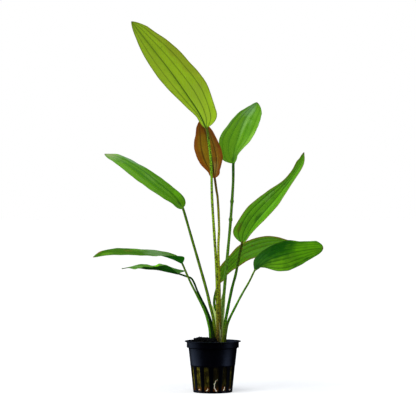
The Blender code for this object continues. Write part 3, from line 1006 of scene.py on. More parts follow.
    def stem(self) -> bpy.types.Object:
        """The stalk: grooved on the side to the plant's middle, with an open sheath at its foot."""
        (x, y), *rest = self.stalk
        base, ahead = np.array(self.rib[0]), np.array(self.rib[1])
        foot_points = [(x * 0.9, y * 0.9, STALK_FOOT - 4.0), (x, y, STALK_FOOT)]
        route = smooth_route([*foot_points, *rest, base + RUN_IN * (ahead - base)], self.rings)
        length = line_length(route)
        t = np.linspace(0.0, 1.0, self.rings)
        groove = np.array([CROWN_CENTRE[0] - x, CROWN_CENTRE[1] - y, 0.0]) + 1e-3
        across = across_line(unit(np.gradient(route, axis=0)), groove)
        angle = full_turn(self.sides) - math.pi
        foot, top = self.thick
        radius = top + (foot - top) * (1.0 - t) ** 1.5
        radius = radius * (1.0 - 0.55 * np.clip((t - (1.0 - NECK)) / NECK, 0.0, 1.0))
        open_foot = np.clip(1.0 - t * length / self.sheath.reach, 0.0, 1.0) ** 0.7
        hollow = 0.1 * np.exp(-((angle / 0.5) ** 2))
        ridges = 0.025 * np.cos(7 * angle) + 0.04 * np.cos(3 * angle + math.pi)
        shape = 1.0 + ridges[None, :] - hollow[None, :] * (1.0 + open_foot[:, None])
        lumps = 1.0 + 0.03 * np.sin(41 * t + self.seed())
        for place, height in self.knots:
            lumps = lumps + height * np.exp(-(((t - place) * length / 1.3) ** 2))
        stalk, faces = tube(route, across, angle, radius[:, None] * shape * lumps[:, None])

        parts, film = [stalk], [np.zeros(len(stalk))]
        for sign in (-1, 1):
            sheet, skin, out = self.sheath.sheet(sign, route, radius, across, length)
            start = sum(len(part) for part in parts)
            faces.extend([start + number for number in face] for face in skin)
            parts.append(sheet)
            film.append(out)
        points, film = np.vstack(parts), np.concatenate(film)
        nearest = np.clip(np.searchsorted(route[:, 2], points[:, 2]), 0, self.rings - 1)
        share = np.where(film > 0, t[nearest], 0.0)
        share[:len(stalk)] = np.repeat(t, self.sides)
        turn = np.zeros(len(points))
        turn[:len(stalk)] = np.tile(angle / math.tau, self.rings)
        traits = {"share": share, "along": share * length, "turn": turn, "film": film}
        return mesh_piece(self.name + "_stem", points, faces, traits)


# Pot, plug, soil, crown and roots


@dataclass(frozen=True)
class PotFinish:
    """Dark moulded plastic with a satin skin, dusty in soft patches and faint streaks."""

    body: Colour = chip(1, 1, 4)
    dust: Colour = chip(26, 28, 40)

    def material(self) -> bpy.types.Material:
        """Make the plastic, and return its material."""
        board = Board("moulded_plastic")
        patch = board.noise(9.0, 3.0)
        dents = board.noise(3.2, 2.0, 0.5)
        grain = board.noise(0.5, 3.0, 0.6)
        drips = board.noise(1.0, 2.0, place=board.place() * (450.0, 450.0, 60.0))
        colour = board.mix(self.body, self.dust, patch.rise(0.55, 0.8) * grain.rise(0.5, 0.8) * 0.35)
        colour = colour.toward(self.dust, drips.rise(0.62, 0.8) * 0.12)
        height = grain * 0.1 + drips * 0.3 + dents * 0.6
        return board.dress(
            Base_Color=colour, Roughness=0.26 + patch * 0.14 + drips * 0.14,
            Normal=board.relief(height, 0.14), Specular_IOR_Level=0.46, Specular_Tint=(0.74, 0.76, 1.0),
        )


@dataclass
class Pot:
    """The slotted pot: a flange, a collar and a tapered body with a slotted wall and floor."""

    rim_r: float = 27.5
    rim_top: float = 50.0
    rim_thick: float = 0.9
    collar_r: float = 25.5
    collar_foot: float = 43.5
    shoulder_r: float = 23.7
    slot_top_r: float = 21.6
    foot_r: float = 19.1
    foot_rounding: float = 0.7
    wall: float = 0.8
    floor: float = 1.5
    slots: int = 14
    slot_width: float = 5.3
    slot_low: float = 1.9
    slot_high: float = 25.4
    slot_turn: float = 8.2  # degrees from the front to the nearest slot
    slot_corner: float = 0.9
    drain_width: float = 2.2
    drain_inner: float = 9.5
    drain_outer: float = 15.8
    softened: float = 0.12  # how far its sharp edges are rounded
    steps: int = 224
    finish: PotFinish = field(default_factory=PotFinish)

    def slot_angle(self, index: float) -> float:
        """A slot's direction from the +X axis. Slot 0 is nearest the front, and they grow to the right."""
        return math.radians(self.slot_turn) + index * math.tau / self.slots - math.pi / 2

    def inner_radius(self, height: float) -> float:
        """The inner wall's radius at a height in the slotted body."""
        heights = (0.0, self.slot_high, self.collar_foot)
        return float(np.interp(height, heights, (self.foot_r, self.slot_top_r, self.shoulder_r))) - self.wall

    def profile(self) -> np.ndarray:
        """Radii and heights of the turned outline, from the floor's inside over the rim to the underside."""
        edge, rounding = self.rim_thick / 2, self.foot_rounding
        outside = (self.collar_r, self.slot_top_r, self.shoulder_r)
        inside, slotted, upper = (radius - self.wall for radius in outside)
        bed = self.inner_radius(self.floor)
        lip = [
            (self.rim_r - edge + edge * math.sin(turn), self.rim_top - edge + edge * math.cos(turn))
            for turn in np.linspace(0.0, math.pi, 7)
        ]
        foot = [
            (self.foot_r - rounding + rounding * math.cos(turn), rounding - rounding * math.sin(turn))
            for turn in np.linspace(0.0, math.pi / 2, 5)
        ]
        return np.array([
            (0.0, self.floor),
            (bed - 0.5, self.floor),
            (bed, self.floor + 0.5),
            (slotted, self.slot_high),
            (upper, self.collar_foot),
            (inside - 0.4, self.collar_foot + 0.5),
            (inside, self.collar_foot + 1.0),
            (inside, self.rim_top - 0.3),
            (inside + 0.3, self.rim_top),
            *lip,
            (self.collar_r + 0.25, self.rim_top - self.rim_thick),
            (self.collar_r, self.rim_top - self.rim_thick - 0.25),
            (self.collar_r, self.collar_foot + 0.3),
            (self.collar_r - 0.3, self.collar_foot),
            (self.shoulder_r + 0.3, self.collar_foot - 0.25),
            (self.shoulder_r, self.collar_foot - 0.6),
            (self.slot_top_r + 0.35, self.slot_high + 1.6),
            (self.slot_top_r + 0.45, self.slot_high + 1.2),
            (self.slot_top_r + 0.1, self.slot_high + 0.4),
            *foot,
            (0.0, 0.0),
        ])

    def cutter(
        self, name: str, inner: float, outer: float, width: float, low: float, high: float
    ) -> bpy.types.Object:
        """Boxes with rounded corners that point outwards, one in each slot's direction.

        Args:
            name: the cutter's name.
            inner, outer: how far from the axis each box begins and ends.
            width: the box's width.
            low, high: its lowest and highest heights.
        Returns:
            One object with all the boxes.
        """
        mould = bmesh.new()
        size = Matrix.Diagonal((outer - inner, width, high - low, 1.0 / MM)) * MM
        centre = Matrix.Translation((MM * (inner + outer) / 2, 0.0, MM * (low + high) / 2))
        for index in range(self.slots):
            turn = Matrix.Rotation(self.slot_angle(index), 4, "Z")
            made = bmesh.ops.create_cube(mould, size=1.0, matrix=turn @ centre @ size)
            edges = {edge for corner in made["verts"] for edge in corner.link_edges}
            way = turn @ Vector((1.0, 0.0, 0.0))
            radial = [
                edge for edge in edges
                if abs((edge.verts[1].co - edge.verts[0].co).normalized().dot(way)) > 0.99
            ]
            bmesh.ops.bevel(
                mould, geom=radial, offset=self.slot_corner * MM, segments=4, profile=0.5, affect="EDGES",
            )
        mesh = bpy.data.meshes.new(name)
        mould.to_mesh(mesh)
        mould.free()
        return add_object(name, mesh)

    def build(self) -> None:
        """Turn the pot, cut its slots and round their edges."""
        outline = self.profile()
        rings = turned(outline[1:-1, :1], full_turn(self.steps), outline[1:-1, 1:])
        pot = mesh_piece("slotted_pot", *capped_rings(rings, outline[0, 1], outline[-1, 1], flip=True))
        slots = (self.foot_r - 4 * self.wall, self.rim_r, self.slot_width, self.slot_low, self.slot_high)
        drains = (self.drain_inner, self.drain_outer, self.drain_width, -self.floor, 2 * self.floor)
        cutters = [self.cutter("slot_boxes", *slots), self.cutter("drain_boxes", *drains)]
        for cutter in cutters:
            cut = pot.modifiers.new("Cut", "BOOLEAN")
            cut.operation = "DIFFERENCE"
            cut.object = cutter
        soften = pot.modifiers.new("Soften", "BEVEL")
        soften.width = self.softened * MM
        soften.segments = 2
        soften.limit_method = "ANGLE"
        soften.angle_limit = math.radians(35)
        graph = bpy.context.evaluated_depsgraph_get()
        mesh = bpy.data.meshes.new_from_object(pot.evaluated_get(graph))
        pot.modifiers.clear()
        pot.data = mesh
        for cutter in cutters:
            bpy.data.objects.remove(cutter)
        mesh.materials.clear()
        mesh.shade_smooth()
        mesh.set_sharp_from_angle(angle=math.radians(32))
        hand_over(pot, self.finish.material(), "pot")


@dataclass(frozen=True)
class WoolFinish:
    """Rock wool: olive and yellow fibres, darker brown towards the middle of its width seen from the front.
    """

    light: Colour = chip(150, 142, 40)
    dark: Colour = chip(52, 46, 8)
    dark_middle: Colour = chip(17, 12, 3)
    rusty: Colour = chip(124, 66, 14)  # where the roots have stained its foot

    def material(self) -> bpy.types.Material:
        """Make the wool, and return its material."""
        board = Board("rock_wool")
        strands = board.noise(1.0, 4.0, 0.65, place=board.place() * (1500.0, 1500.0, 160.0))
        patch = board.noise(6.0, 3.0)
        colour = board.mix(self.dark, self.light, strands.rise(0.35, 0.68))
        aside = abs(board.coordinate("X") * 50.0 - 0.2)
        # darker brown towards the middle of its width, lighter towards the left and right
        colour = colour.toward(self.dark_middle, ((patch - 0.5) * 1.5 + 1.05 - aside * 0.64).rise(0.1, 0.9) * 0.96)
        foot = (board.coordinate("Z") * 1000.0 + patch * 8.0).rise(12.0, 6.0)
        colour = colour.toward(self.rusty, foot * 0.7)
        return board.dress(
            Base_Color=colour, Roughness=0.75 + strands * 0.2, Normal=board.relief(strands, 0.35),
            Specular_IOR_Level=0.15,
        )


@dataclass
class Wool:
    """The rock wool plug, with loose fibres where the slots bare it."""

    pot: Pot
    top: float = 43.6
    gap: float = 0.3
    sunk: float = 0.22  # how far its side lies under the fibres' tops
    fluff: float = 0.09  # height of the side's own unevenness
    fibres: int = 46  # in each slot
    fibre_r: float = 0.09
    fibre_aside: float = 2.3  # how far a fibre's middle is from the slot's middle, at most
    seed: int = 7
    steps: int = 280
    rings: int = 96
    finish: WoolFinish = field(default_factory=WoolFinish)

    def build(self) -> None:
        """Build the plug and its fibres."""
        draw = np.random.default_rng(self.seed)
        angle = full_turn(self.steps)
        low = self.pot.floor + self.gap
        heights = np.linspace(low, self.top, self.rings)[:, None]
        radius = np.array([self.pot.inner_radius(z) for z in heights[:, 0]])[:, None] - self.gap * 0.5
        fluff = sum(
            np.sin(k * angle[None, :] + phase + bend * np.sin(heights * 0.35 + phase)) / (k ** 0.35)
            for k, phase, bend in zip((23, 41, 67, 97, 131), draw.uniform(0, 6, 5), (1.4, 1.1, 2.0, 1.5, 1.0))
        )
        radius = radius - self.sunk - self.fluff * fluff
        points, faces = self.add_fibres(draw, *capped_rings(turned(radius, angle, heights), low, self.top))
        hand_over(mesh_piece("wool_plug", points, faces), self.finish.material(), "rock_wool_plug")

    def add_fibres(self, draw: np.random.Generator, points: np.ndarray, faces: list[list[int]]) -> Mesh:
        """Lay thin curved fibres on the plug in every slot.

        Args:
            draw: the random draws.
            points, faces: the plug's own mesh.
        Returns:
            The mesh with its fibres.
        """
        pot = self.pot
        parts = [points]
        start = len(points)
        t = np.linspace(-0.5, 0.5, 9)
        bow = np.cos(math.pi * t)
        for slot in range(pot.slots):
            for _ in range(self.fibres):
                length = draw.uniform(3.0, 11.0)
                middle = draw.uniform(pot.slot_low + 1.0, pot.slot_high - 1.0)
                lean = draw.normal(0.0, 0.5)
                offset = draw.uniform(-self.fibre_aside, self.fibre_aside)
                height = np.clip(middle + t * length * math.cos(lean), pot.slot_low, pot.slot_high)
                base = np.interp(height, (0.0, pot.slot_high), (pot.foot_r, pot.slot_top_r))
                out = base - pot.wall - 0.12 + draw.uniform(-0.15, 0.3) * bow
                aside = offset + t * length * math.sin(lean) + draw.normal(0.0, 0.5) * bow
                line = turned(out, pot.slot_angle(slot) + aside / base, height)
                radius = np.full(len(t), self.fibre_r * draw.uniform(0.6, 1.3))
                fibre, skin = thin_tube(line, radius, 4, start)
                parts.append(fibre)
                faces.extend(skin)
                start += len(fibre)
        return np.vstack(parts), faces


@dataclass(frozen=True)
class PatchyFinish:
    """A grainy skin of one colour, with soft patches of another."""

    name: str
    main: Colour
    patched: Colour
    patch: tuple[float, float]  # the patches' size, and how many finer layers they have
    edges: tuple[float, float]  # between which values of their cloud they begin
    share: float  # how strong they are
    grain: tuple[float, float, float]  # its size, its finer layers, and how strong those are
    shade: tuple[float, float]  # the colour's share in the grain's hollows, and what its tops add
    rough: tuple[float, float]  # the same for the roughness
    depth: float  # of the grain's relief
    extras: Mapping[str, float] = field(default_factory=dict)  # the shader's other sockets

    def material(self) -> bpy.types.Material:
        """Make the skin, and return its material."""
        board = Board(self.name)
        patch = board.noise(*self.patch).rise(*self.edges)
        grain = board.noise(*self.grain)
        colour = board.mix(self.main, self.patched, patch * self.share)
        colour = colour * (grain * self.shade[1] + self.shade[0])
        return board.dress(
            Base_Color=colour, Roughness=grain * self.rough[1] + self.rough[0],
            Normal=board.relief(grain, self.depth), **self.extras,
        )


DARK_SOIL = PatchyFinish(
    "dark_soil", chip(6, 6, 6), chip(34, 31, 26), patch=(2.4, 3.0), edges=(0.5, 0.75), share=0.6,
    grain=(0.35, 3.0, 0.7), shade=(0.6, 0.8), rough=(0.6, 0.35), depth=0.2,
    extras={"Specular_IOR_Level": 0.15},
)
ROOTSTOCK = PatchyFinish(
    "rootstock", chip(120, 128, 50), chip(66, 48, 24), patch=(3.0, 3.0), edges=(0.4, 0.62), share=1.0,
    grain=(0.5, 3.0, 0.6), shade=(0.7, 0.6), rough=(0.55, 0.2), depth=0.2,
)
YOUNG_ROOT = PatchyFinish(
    "young_root", chip(228, 220, 198), chip(150, 104, 52), patch=(2.2, 2.0), edges=(0.48, 0.66), share=0.8,
    grain=(0.4, 2.0, 0.5), shade=(0.8, 0.4), rough=(0.4, 0.2), depth=0.08,
    extras={"Subsurface_Weight": 0.15, "Subsurface_Scale": 0.0008},
)


@dataclass
class Soil:
    """The soil on the plug, heaped left of the stalks, with its crumbs."""

    pot: Pot
    low: float = 43.9
    top: float = 46.8
    mound_height: float = 5.8
    mound_centre: tuple[float, float] = (-10.2, 0.5)
    mound_reach: tuple[float, float] = (9.5, 9.2)
    foot_height: float = 5.2  # of the heap before the left stalks
    foot_centre: tuple[float, float] = (-1.0, -5.0)
    foot_reach: tuple[float, float] = (6.5, 6.5)
    flatness: int = 3  # how level the heaps' tops are
    wall_gap: float = 0.15
    bumps: float = 0.28  # height of the ground's own unevenness
    sunk: float = 0.3  # how far the ground lies under the crumbs' tops
    crumbs: int = 1900
    crumb_size: tuple[float, float, float] = (0.35, 0.36, 1.7)  # the least, what a mean one adds, the most
    seed: int = 11
    steps: int = 160
    rings: int = 60

    def heap(self, x: np.ndarray, y: np.ndarray, height: float, centre: Point, reach: Point) -> np.ndarray:
        """How high a heap lies at places on the soil.

        Args:
            x, y: the places.
            height: the heap's own height.
            centre: its middle.
            reach: how far it goes each way.
        Returns:
            The heights.
        """
        off = ((x - centre[0]) / reach[0]) ** 2 + ((y - centre[1]) / reach[1]) ** 2
        return height * np.exp(-(off**self.flatness))

    def height(self, x: np.ndarray, y: np.ndarray) -> np.ndarray:
        """The smooth soil's top at places on it."""
        mound = self.heap(x, y, self.mound_height, self.mound_centre, self.mound_reach)
        foot = self.heap(x, y, self.foot_height, self.foot_centre, self.foot_reach)
        return self.top + np.maximum(mound, foot)

    def build(self) -> None:
        """Build the ground and heap crumbs on it."""
        draw = np.random.default_rng(self.seed)
        angle = full_turn(self.steps)
        reach = np.linspace(0.0, self.pot.collar_r - self.pot.wall - self.wall_gap, self.rings + 1)[1:, None]
        x, y = reach * np.cos(angle), reach * np.sin(angle)
        uneven = sum(
            np.sin(k * x + a) * np.sin(k * y + b)
            for k, a, b in zip((0.9, 1.7, 2.9, 4.3), draw.uniform(0, 6, 4), draw.uniform(0, 6, 4))
        )
        z = self.height(x, y) + self.bumps * uneven - self.sunk
        skirt = np.stack([x[-1], y[-1], np.full(self.steps, self.low)], axis=-1)
        rings = np.concatenate([np.stack([x, y, z], axis=-1), skirt[None]])
        ground, faces = capped_rings(rings, float(self.height(0.0, 0.0)), self.low, flip=True)
        parts = [ground]
        start = len(ground)
        ball, ball_faces = self.crumb_ball()
        for _ in range(self.crumbs):
            spot = self.crumb_spot(draw)
            if spot is None:
                continue
            where, size = spot
            crumb = ball * size * draw.uniform(0.65, 1.25, 3)
            dents = np.sin(ball @ draw.normal(0, 2.2, 3) * 3 + draw.uniform(0, 6))
            crumb = crumb * (1.0 + 0.22 * dents)[:, None]
            spin = np.linalg.qr(draw.normal(size=(3, 3)))[0]
            if np.linalg.det(spin) < 0:
                spin[:, 0] = -spin[:, 0]
            parts.append(crumb @ spin.T + where)
            faces.extend([start + corner for corner in face] for face in ball_faces)
            start += len(ball)
        soil = mesh_piece("soil_and_crumbs", np.vstack(parts), faces)
        hand_over(soil, DARK_SOIL.material(), "soil")

    @staticmethod
    def crumb_ball() -> Mesh:
        """A ball of small faces, as points and faces."""
        mould = bmesh.new()
        bmesh.ops.create_icosphere(mould, subdivisions=2, radius=1.0)
        points = np.array([corner.co for corner in mould.verts])
        faces = [[corner.index for corner in face.verts] for face in mould.faces]
        mould.free()
        return points, faces

    def crumb_spot(self, draw: np.random.Generator) -> tuple[np.ndarray, float] | None:
        """A crumb's place and size, or None where the wall is.

        Args:
            draw: the random draws.
        Returns:
            Its middle and its radius. 45 in 100 are on the mound and 25 on the heap at the stalks' feet.
        """
        least, mean, most = self.crumb_size
        size = min(least + draw.exponential(mean), most)
        choice = draw.random()
        if choice < 0.45:
            x, y = np.array(self.mound_centre) + draw.normal(0.0, 0.55, 2) * np.array(self.mound_reach)
        elif choice < 0.7:
            x, y = np.array(self.foot_centre) + draw.normal(0.0, 0.8, 2) * np.array(self.foot_reach)
        else:
            turn, out = draw.uniform(0.0, math.tau), (self.pot.collar_r - 1.0) * math.sqrt(draw.random())
            x, y = out * math.cos(turn), out * math.sin(turn)
        if math.hypot(x, y) + size > self.pot.collar_r - self.pot.wall:
            return None
        return np.array([x, y, float(self.height(x, y)) - size * draw.uniform(0.1, 0.9)]), size


@dataclass
class Crown:
    """The short rootstock, with the scars of old leaves round it."""

    reach: tuple[float, float] = (9.2, 7.6)
    low: float = 43.9
    top: float = 49.0
    slack: float = 0.97  # keeps its lumps and scars inside its reach
    steps: int = 96
    rings: int = 40

    def build(self) -> None:
        """Build the rootstock as a low dome with ring-shaped scars."""
        angle = full_turn(self.steps)
        share = np.linspace(0.0, 1.0, self.rings)[:, None]
        out = np.sin(share * math.pi / 2) ** 0.6
        lumps = 1.0 + 0.05 * np.sin(5 * angle + 1.0) + 0.03 * np.sin(11 * angle)
        scars = 1.0 + 0.03 * np.sin(share * 26.0 + 2.0 * np.sin(angle * 3))
        x, y = (reach * out * lumps * scars * self.slack for reach in self.reach)
        dome = self.low + (self.top - self.low) * np.cos(share * math.pi / 2) ** 0.5
        x, y = CROWN_CENTRE[0] + x * np.cos(angle), CROWN_CENTRE[1] + y * np.sin(angle)
        points = np.stack(np.broadcast_arrays(x, y, dome), axis=-1)
        faces = grid_faces(self.rings, self.steps, around=True).tolist()
        faces.append(list(range(self.rings * self.steps - 1, (self.rings - 1) * self.steps - 1, -1)))
        crown = mesh_piece("rootstock", points, faces)
        self.weld(crown)
        hand_over(crown, ROOTSTOCK.material(), "crown")

    @staticmethod
    def weld(obj: bpy.types.Object) -> None:
        """Weld an object's doubled points and turn its faces outwards."""
        mould = bmesh.new()
        mould.from_mesh(obj.data)
        bmesh.ops.remove_doubles(mould, verts=mould.verts, dist=0.01 * MM)
        bmesh.ops.recalc_face_normals(mould, faces=mould.faces)
        mould.to_mesh(obj.data)
        mould.free()


@dataclass
class Root:
    """A root that lies on the plug in one slot, tapered to its tip."""

    pot: Pot
    name: str
    slot: int
    route: Route  # degrees from the slot's middle, and height
    radius: float = 0.36
    sides: int = 14

    def build(self) -> None:
        """Build the root."""
        points = []
        for degrees, height in self.route:
            angle = self.pot.slot_angle(self.slot) + math.radians(degrees)
            out = self.pot.inner_radius(height) + self.radius
            points.append((out * math.cos(angle), out * math.sin(angle), height))
        line = smooth_route(points, 16 * len(points))
        t = np.linspace(0.0, 1.0, len(line))
        ends = np.sqrt(np.clip(1.0 - ((t - 0.5) / 0.5) ** 8, 0.02, 1.0))
        radius = self.radius * (1.1 - 0.4 * t) * ends * (1.0 + 0.08 * np.sin(60 * t + self.slot))
        root = mesh_piece(self.name + "_fibre", *thin_tube(line, radius, self.sides))
        hand_over(root, YOUNG_ROOT.material(), self.name)


@dataclass
class Studio:
    """The pale floor, the soft lights and the camera in front of the plant."""

    distance: float = 2000.0
    eye_height: float = 179.6
    eye_x: float = -4.7
    sensor: float = 36.0
    frame_width: float = 406.3  # what the picture's width takes in, at the pot's axis
    floor_size: float = 60000.0
    ambient: float = 0.4  # the surroundings' light on the plant
    mirrored: float = 0.008  # what shows of them in glossy skins
    daylight: Colour = (0.58, 0.74, 1.0)  # the softboxes' colour

    def build(self) -> None:
        """Set up everything round the plant."""
        self.set_camera()
        self.set_floor()
        self.set_world()
        self.add_sun("overhead", way=(-0.35, -0.55, 1.0), strength=3.2, spread=40.0)
        self.add_sun("fill", way=(-0.8, -0.6, 0.1), strength=0.5, spread=60.0)
        low, middle = (0, 0, 120), (0, 0, 180)
        self.add_softbox("left_wall", (-1000, 200, 400), target=low, size=(1300, 1200), watts=4.5)
        self.add_softbox("right_wall", (1000, -250, 400), target=low, size=(700, 1200), watts=2.8)
        self.add_softbox("back", (200, 1300, 900), target=middle, size=(1200, 700), watts=0.25)
        self.add_softbox("top", (300, 200, 1500), target=middle, size=(900, 900), watts=4.0)
        bpy.context.scene.view_settings.view_transform = "Standard"

    def set_camera(self) -> None:
        """Put the camera level in front of the pot."""
        data = bpy.data.cameras.new("camera")
        data.sensor_width = self.sensor
        data.lens = self.sensor * self.distance / self.frame_width
        data.clip_end = 100.0
        camera = add_object("camera", data)
        camera.location = Vector((self.eye_x, -self.distance, self.eye_height)) * MM
        camera.rotation_euler = (math.pi / 2, 0.0, 0.0)
        bpy.context.scene.camera = camera

    def set_floor(self) -> None:
        """Lay the pale floor."""
        half = self.floor_size / 2
        corners = np.array([(-half, -half, 0.0), (half, -half, 0.0), (half, half, 0.0), (-half, half, 0.0)])
        floor = mesh_piece("floor", corners, [[0, 1, 2, 3]])
        board = Board("pale_floor")
        cloud = board.noise(300.0, 2.0)
        floor.data.materials.append(
            board.dress(
                Base_Color=board.mix((0.4,) * 3, (0.42,) * 3, cloud), Roughness=0.8, Specular_IOR_Level=0.0,
                Emission_Color=(1.0, 1.0, 1.0), Emission_Strength=0.5,
            )
        )
        floor.visible_diffuse = floor.visible_glossy = False  # a dark studio's floor throws little light back

    def set_world(self) -> None:
        """Surround the plant with soft white light."""
        world = bpy.data.worlds.new("studio")
        world.use_nodes = True
        tree = world.node_tree
        ray = tree.nodes.new("ShaderNodeLightPath")
        shown = tree.nodes["Background"]
        shown.inputs["Strength"].default_value = self.ambient
        for kind, strength in (("Is Glossy Ray", self.mirrored), ("Is Camera Ray", 1.0)):
            other = tree.nodes.new("ShaderNodeBackground")
            other.inputs["Strength"].default_value = strength
            choose = tree.nodes.new("ShaderNodeMixShader")
            tree.links.new(ray.outputs[kind], choose.inputs[0])
            tree.links.new(shown.outputs[0], choose.inputs[1])
            tree.links.new(other.outputs[0], choose.inputs[2])
            shown = choose
        for node in tree.nodes:
            if node.type == "BACKGROUND":
                node.inputs["Color"].default_value = (1.0, 1.0, 1.0, 1.0)
        tree.links.new(shown.outputs[0], tree.nodes["World Output"].inputs["Surface"])
        bpy.context.scene.world = world

    @staticmethod
    def add_sun(name: str, way: Point, strength: float, spread: float) -> None:
        """Light everything from one side, as evenly near as far.

        Args:
            name: the light's name.
            way: the direction that it comes from.
            strength: how strong it is.
            spread: how wide it looks, in degrees, which makes its shadows soft.
        """
        data = bpy.data.lights.new(name, "SUN")
        data.energy = strength
        data.angle = math.radians(spread)
        lamp = add_object(name, data)
        lamp.visible_glossy = False
        lamp.rotation_euler = Vector(way).to_track_quat("Z", "Y").to_euler()

    def add_softbox(self, name: str, place: Point, target: Point, size: Point, watts: float) -> None:
        """Hang a soft rectangular light.

        Args:
            name: the light's name.
            place: where it hangs.
            target: where it points.
            size: its width and height.
            watts: its power.
        """
        data = bpy.data.lights.new(name, "AREA")
        data.shape = "RECTANGLE"
        data.size, data.size_y = size[0] * MM, size[1] * MM
        data.energy = watts
        data.color = self.daylight
        lamp = add_object(name, data)
        lamp.location = Vector(place) * MM
        lamp.rotation_euler = (Vector(target) - Vector(place)).to_track_quat("-Z", "Y").to_euler()


# Its underside's bright yellow-green is brightened as painted light: the glow of light shining through the
# blade.
LIT_SKIN = LeafFinish(
    upper=chip(92, 146, 20), under=chip(168, 208, 24), vein=chip(48, 104, 6), under_vein=chip(58, 98, 2),
    margin=chip(104, 92, 14), margin_width=1.0, margin_share=0.6, rung=chip(176, 206, 110), rung_share=0.3,
    tip=chip(40, 26, 10), tip_reach=0.012, vein_share=0.9, vein_width=1.3, shade_share=0.12,
)
BRONZE_SKIN = LeafFinish(
    upper=chip(138, 98, 2), under=chip(120, 80, 20), vein=chip(40, 24, 2), under_vein=chip(90, 60, 14),
    margin=chip(126, 60, 2), margin_width=3.4, margin_share=0.8, shade=chip(104, 56, 2), shade_share=0.7,
    bloom_and_sheen=chip(150, 134, 34), bloom_and_sheen_share=0.5, speckle=chip(80, 44, 2), vein_share=0.9, vein_width=1.9,
)
SOFT_SKIN = LeafFinish(
    upper=chip(94, 148, 18), under=chip(104, 150, 40), vein=chip(44, 106, 0), under_vein=chip(60, 110, 14),
    margin=chip(80, 120, 30), bloom_and_sheen_share=0.25, speckle_share=0.05, vein_share=0.5, shade_share=0.06,
    vein_hollow_shade_share=0.3,
)
RIDGED_SKIN = LeafFinish(
    upper=chip(72, 124, 2), under=chip(104, 150, 40), vein=chip(100, 150, 50), under_vein=chip(60, 110, 14),
    margin=chip(80, 120, 30), bloom_and_sheen=chip(110, 148, 80), bloom_and_sheen_share=0.25, speckle_share=0.05, vein_share=0.35,
    shade=chip(28, 92, 0), shade_share=0.35, shine=0.12, vein_hollow_shade_share=0.0,
)
RED_EDGE_SKIN = LeafFinish(
    upper=chip(86, 150, 8), under=chip(100, 146, 30), vein=chip(36, 88, 0), under_vein=chip(60, 110, 14),
    margin=chip(116, 66, 14), margin_width=0.9, margin_share=0.55, speckle=chip(60, 56, 6), speckle_share=0.6,
    speckle_step=3.2, vein_share=0.85, vein_width=1.6,
)
OLIVE_SKIN = LeafFinish(
    upper=chip(66, 116, 0), under=chip(100, 146, 30), vein=chip(40, 60, 2), under_vein=chip(60, 110, 14),
    margin=chip(112, 58, 16), margin_width=1.4, margin_share=0.6, speckle=chip(84, 40, 8), speckle_share=0.9,
    speckle_step=3.6, shade=chip(40, 84, 0), vein_share=0.8, vein_width=1.1, bloom_and_sheen_share=0.05, shine=0.12,
    vein_hollow_shade_share=0.1,
)
DEEP_SKIN = LeafFinish(
    upper=chip(32, 82, 0), under=chip(40, 84, 6), vein=chip(14, 60, 0), under_vein=chip(14, 50, 4),
    margin=chip(60, 80, 10), shade=chip(18, 76, 0), shade_share=0.45, bloom_and_sheen=chip(96, 150, 4), bloom_and_sheen_share=0.4,
    vein_share=0.8, vein_width=1.2, shine=0.1,
)
# Its underside's bright green is brightened as painted light, for light through the blade where it lies in
# shade.
FLAT_SKIN = LeafFinish(
    upper=chip(58, 104, 4), under=chip(34, 138, 10), vein=chip(40, 86, 6), under_vein=chip(14, 80, 2),
    margin=chip(96, 120, 30), bloom_and_sheen=chip(100, 142, 52), bloom_and_sheen_share=0.32, speckle_share=0.3,
    tip=chip(120, 66, 30), shine=0.1,
)
# Its underside's green is brightened as painted light, for light through the blade where it lies in shade.
SHADED_SKIN = LeafFinish(
    upper=chip(80, 128, 34), under=chip(26, 98, 6), vein=chip(40, 84, 12), under_vein=chip(8, 52, 0),
    margin=chip(60, 90, 20), bloom_and_sheen_share=0.4, speckle_share=0.1, shine=0.14,
)
GREEN_STALK = StalkFinish(
    chip(104, 120, 16), chip(104, 148, 8), chip(92, 140, 6), membrane=chip(180, 208, 120),
    hem=chip(206, 200, 156), groove_shade_share=0.75,
)
PALE_STALK = StalkFinish(
    chip(204, 228, 130), chip(104, 160, 30), chip(80, 130, 8), membrane=chip(186, 214, 126),
    hem=chip(186, 190, 126), stain_and_shade=0.1, groove_shade_share=0.3, turn=0.3, neck=chip(20, 70, 4), neck_share=0.7,
    speckle_share=0.5,
)
BRIGHT_STALK = StalkFinish(
    chip(118, 98, 22), chip(140, 172, 20), chip(124, 190, 8), speckle=chip(50, 40, 4), speckle_share=0.92,
    groove_shade_share=0.1, neck_share=0.7,
)
BROWN_STALK = StalkFinish(
    chip(124, 108, 28), chip(172, 190, 24), chip(74, 44, 4), turn=0.6, speckle=chip(76, 56, 8),
    speckle_share=0.7, groove_shade_share=0.1, stain_and_shade=0.4,
)
DARK_STALK = StalkFinish(
    chip(116, 132, 14), chip(62, 134, 2), chip(84, 112, 8), speckle=chip(10, 54, 0),
    membrane=chip(130, 130, 60), hem=chip(180, 130, 116), speckle_share=0.75, groove_shade_share=0.35, stain_and_shade=0.5,
    neck=chip(76, 64, 14), neck_share=0.6,
)
SLIM_STALK = StalkFinish(
    chip(116, 126, 16), chip(96, 172, 6), chip(128, 172, 14), speckle=chip(20, 76, 0),
    membrane=chip(130, 130, 60), hem=chip(180, 130, 116), speckle_share=0.7, groove_shade_share=0.15, stain_and_shade=0.5,
)
LEAF_STALK = StalkFinish(
    chip(84, 136, 4), chip(98, 172, 4), chip(140, 184, 30), speckle=chip(20, 84, 2), membrane=chip(14, 40, 4),
    hem=chip(10, 26, 4),
)
# Painted shadow: this stalk and its sheath are near black, as the shadow at the foot of the left leaves.
SHADOWED_BLACK_STALK = StalkFinish(
    chip(8, 28, 2), chip(10, 44, 4), chip(46, 96, 10), speckle=chip(4, 20, 0), membrane=chip(10, 22, 4),
    hem=chip(8, 16, 4),
)


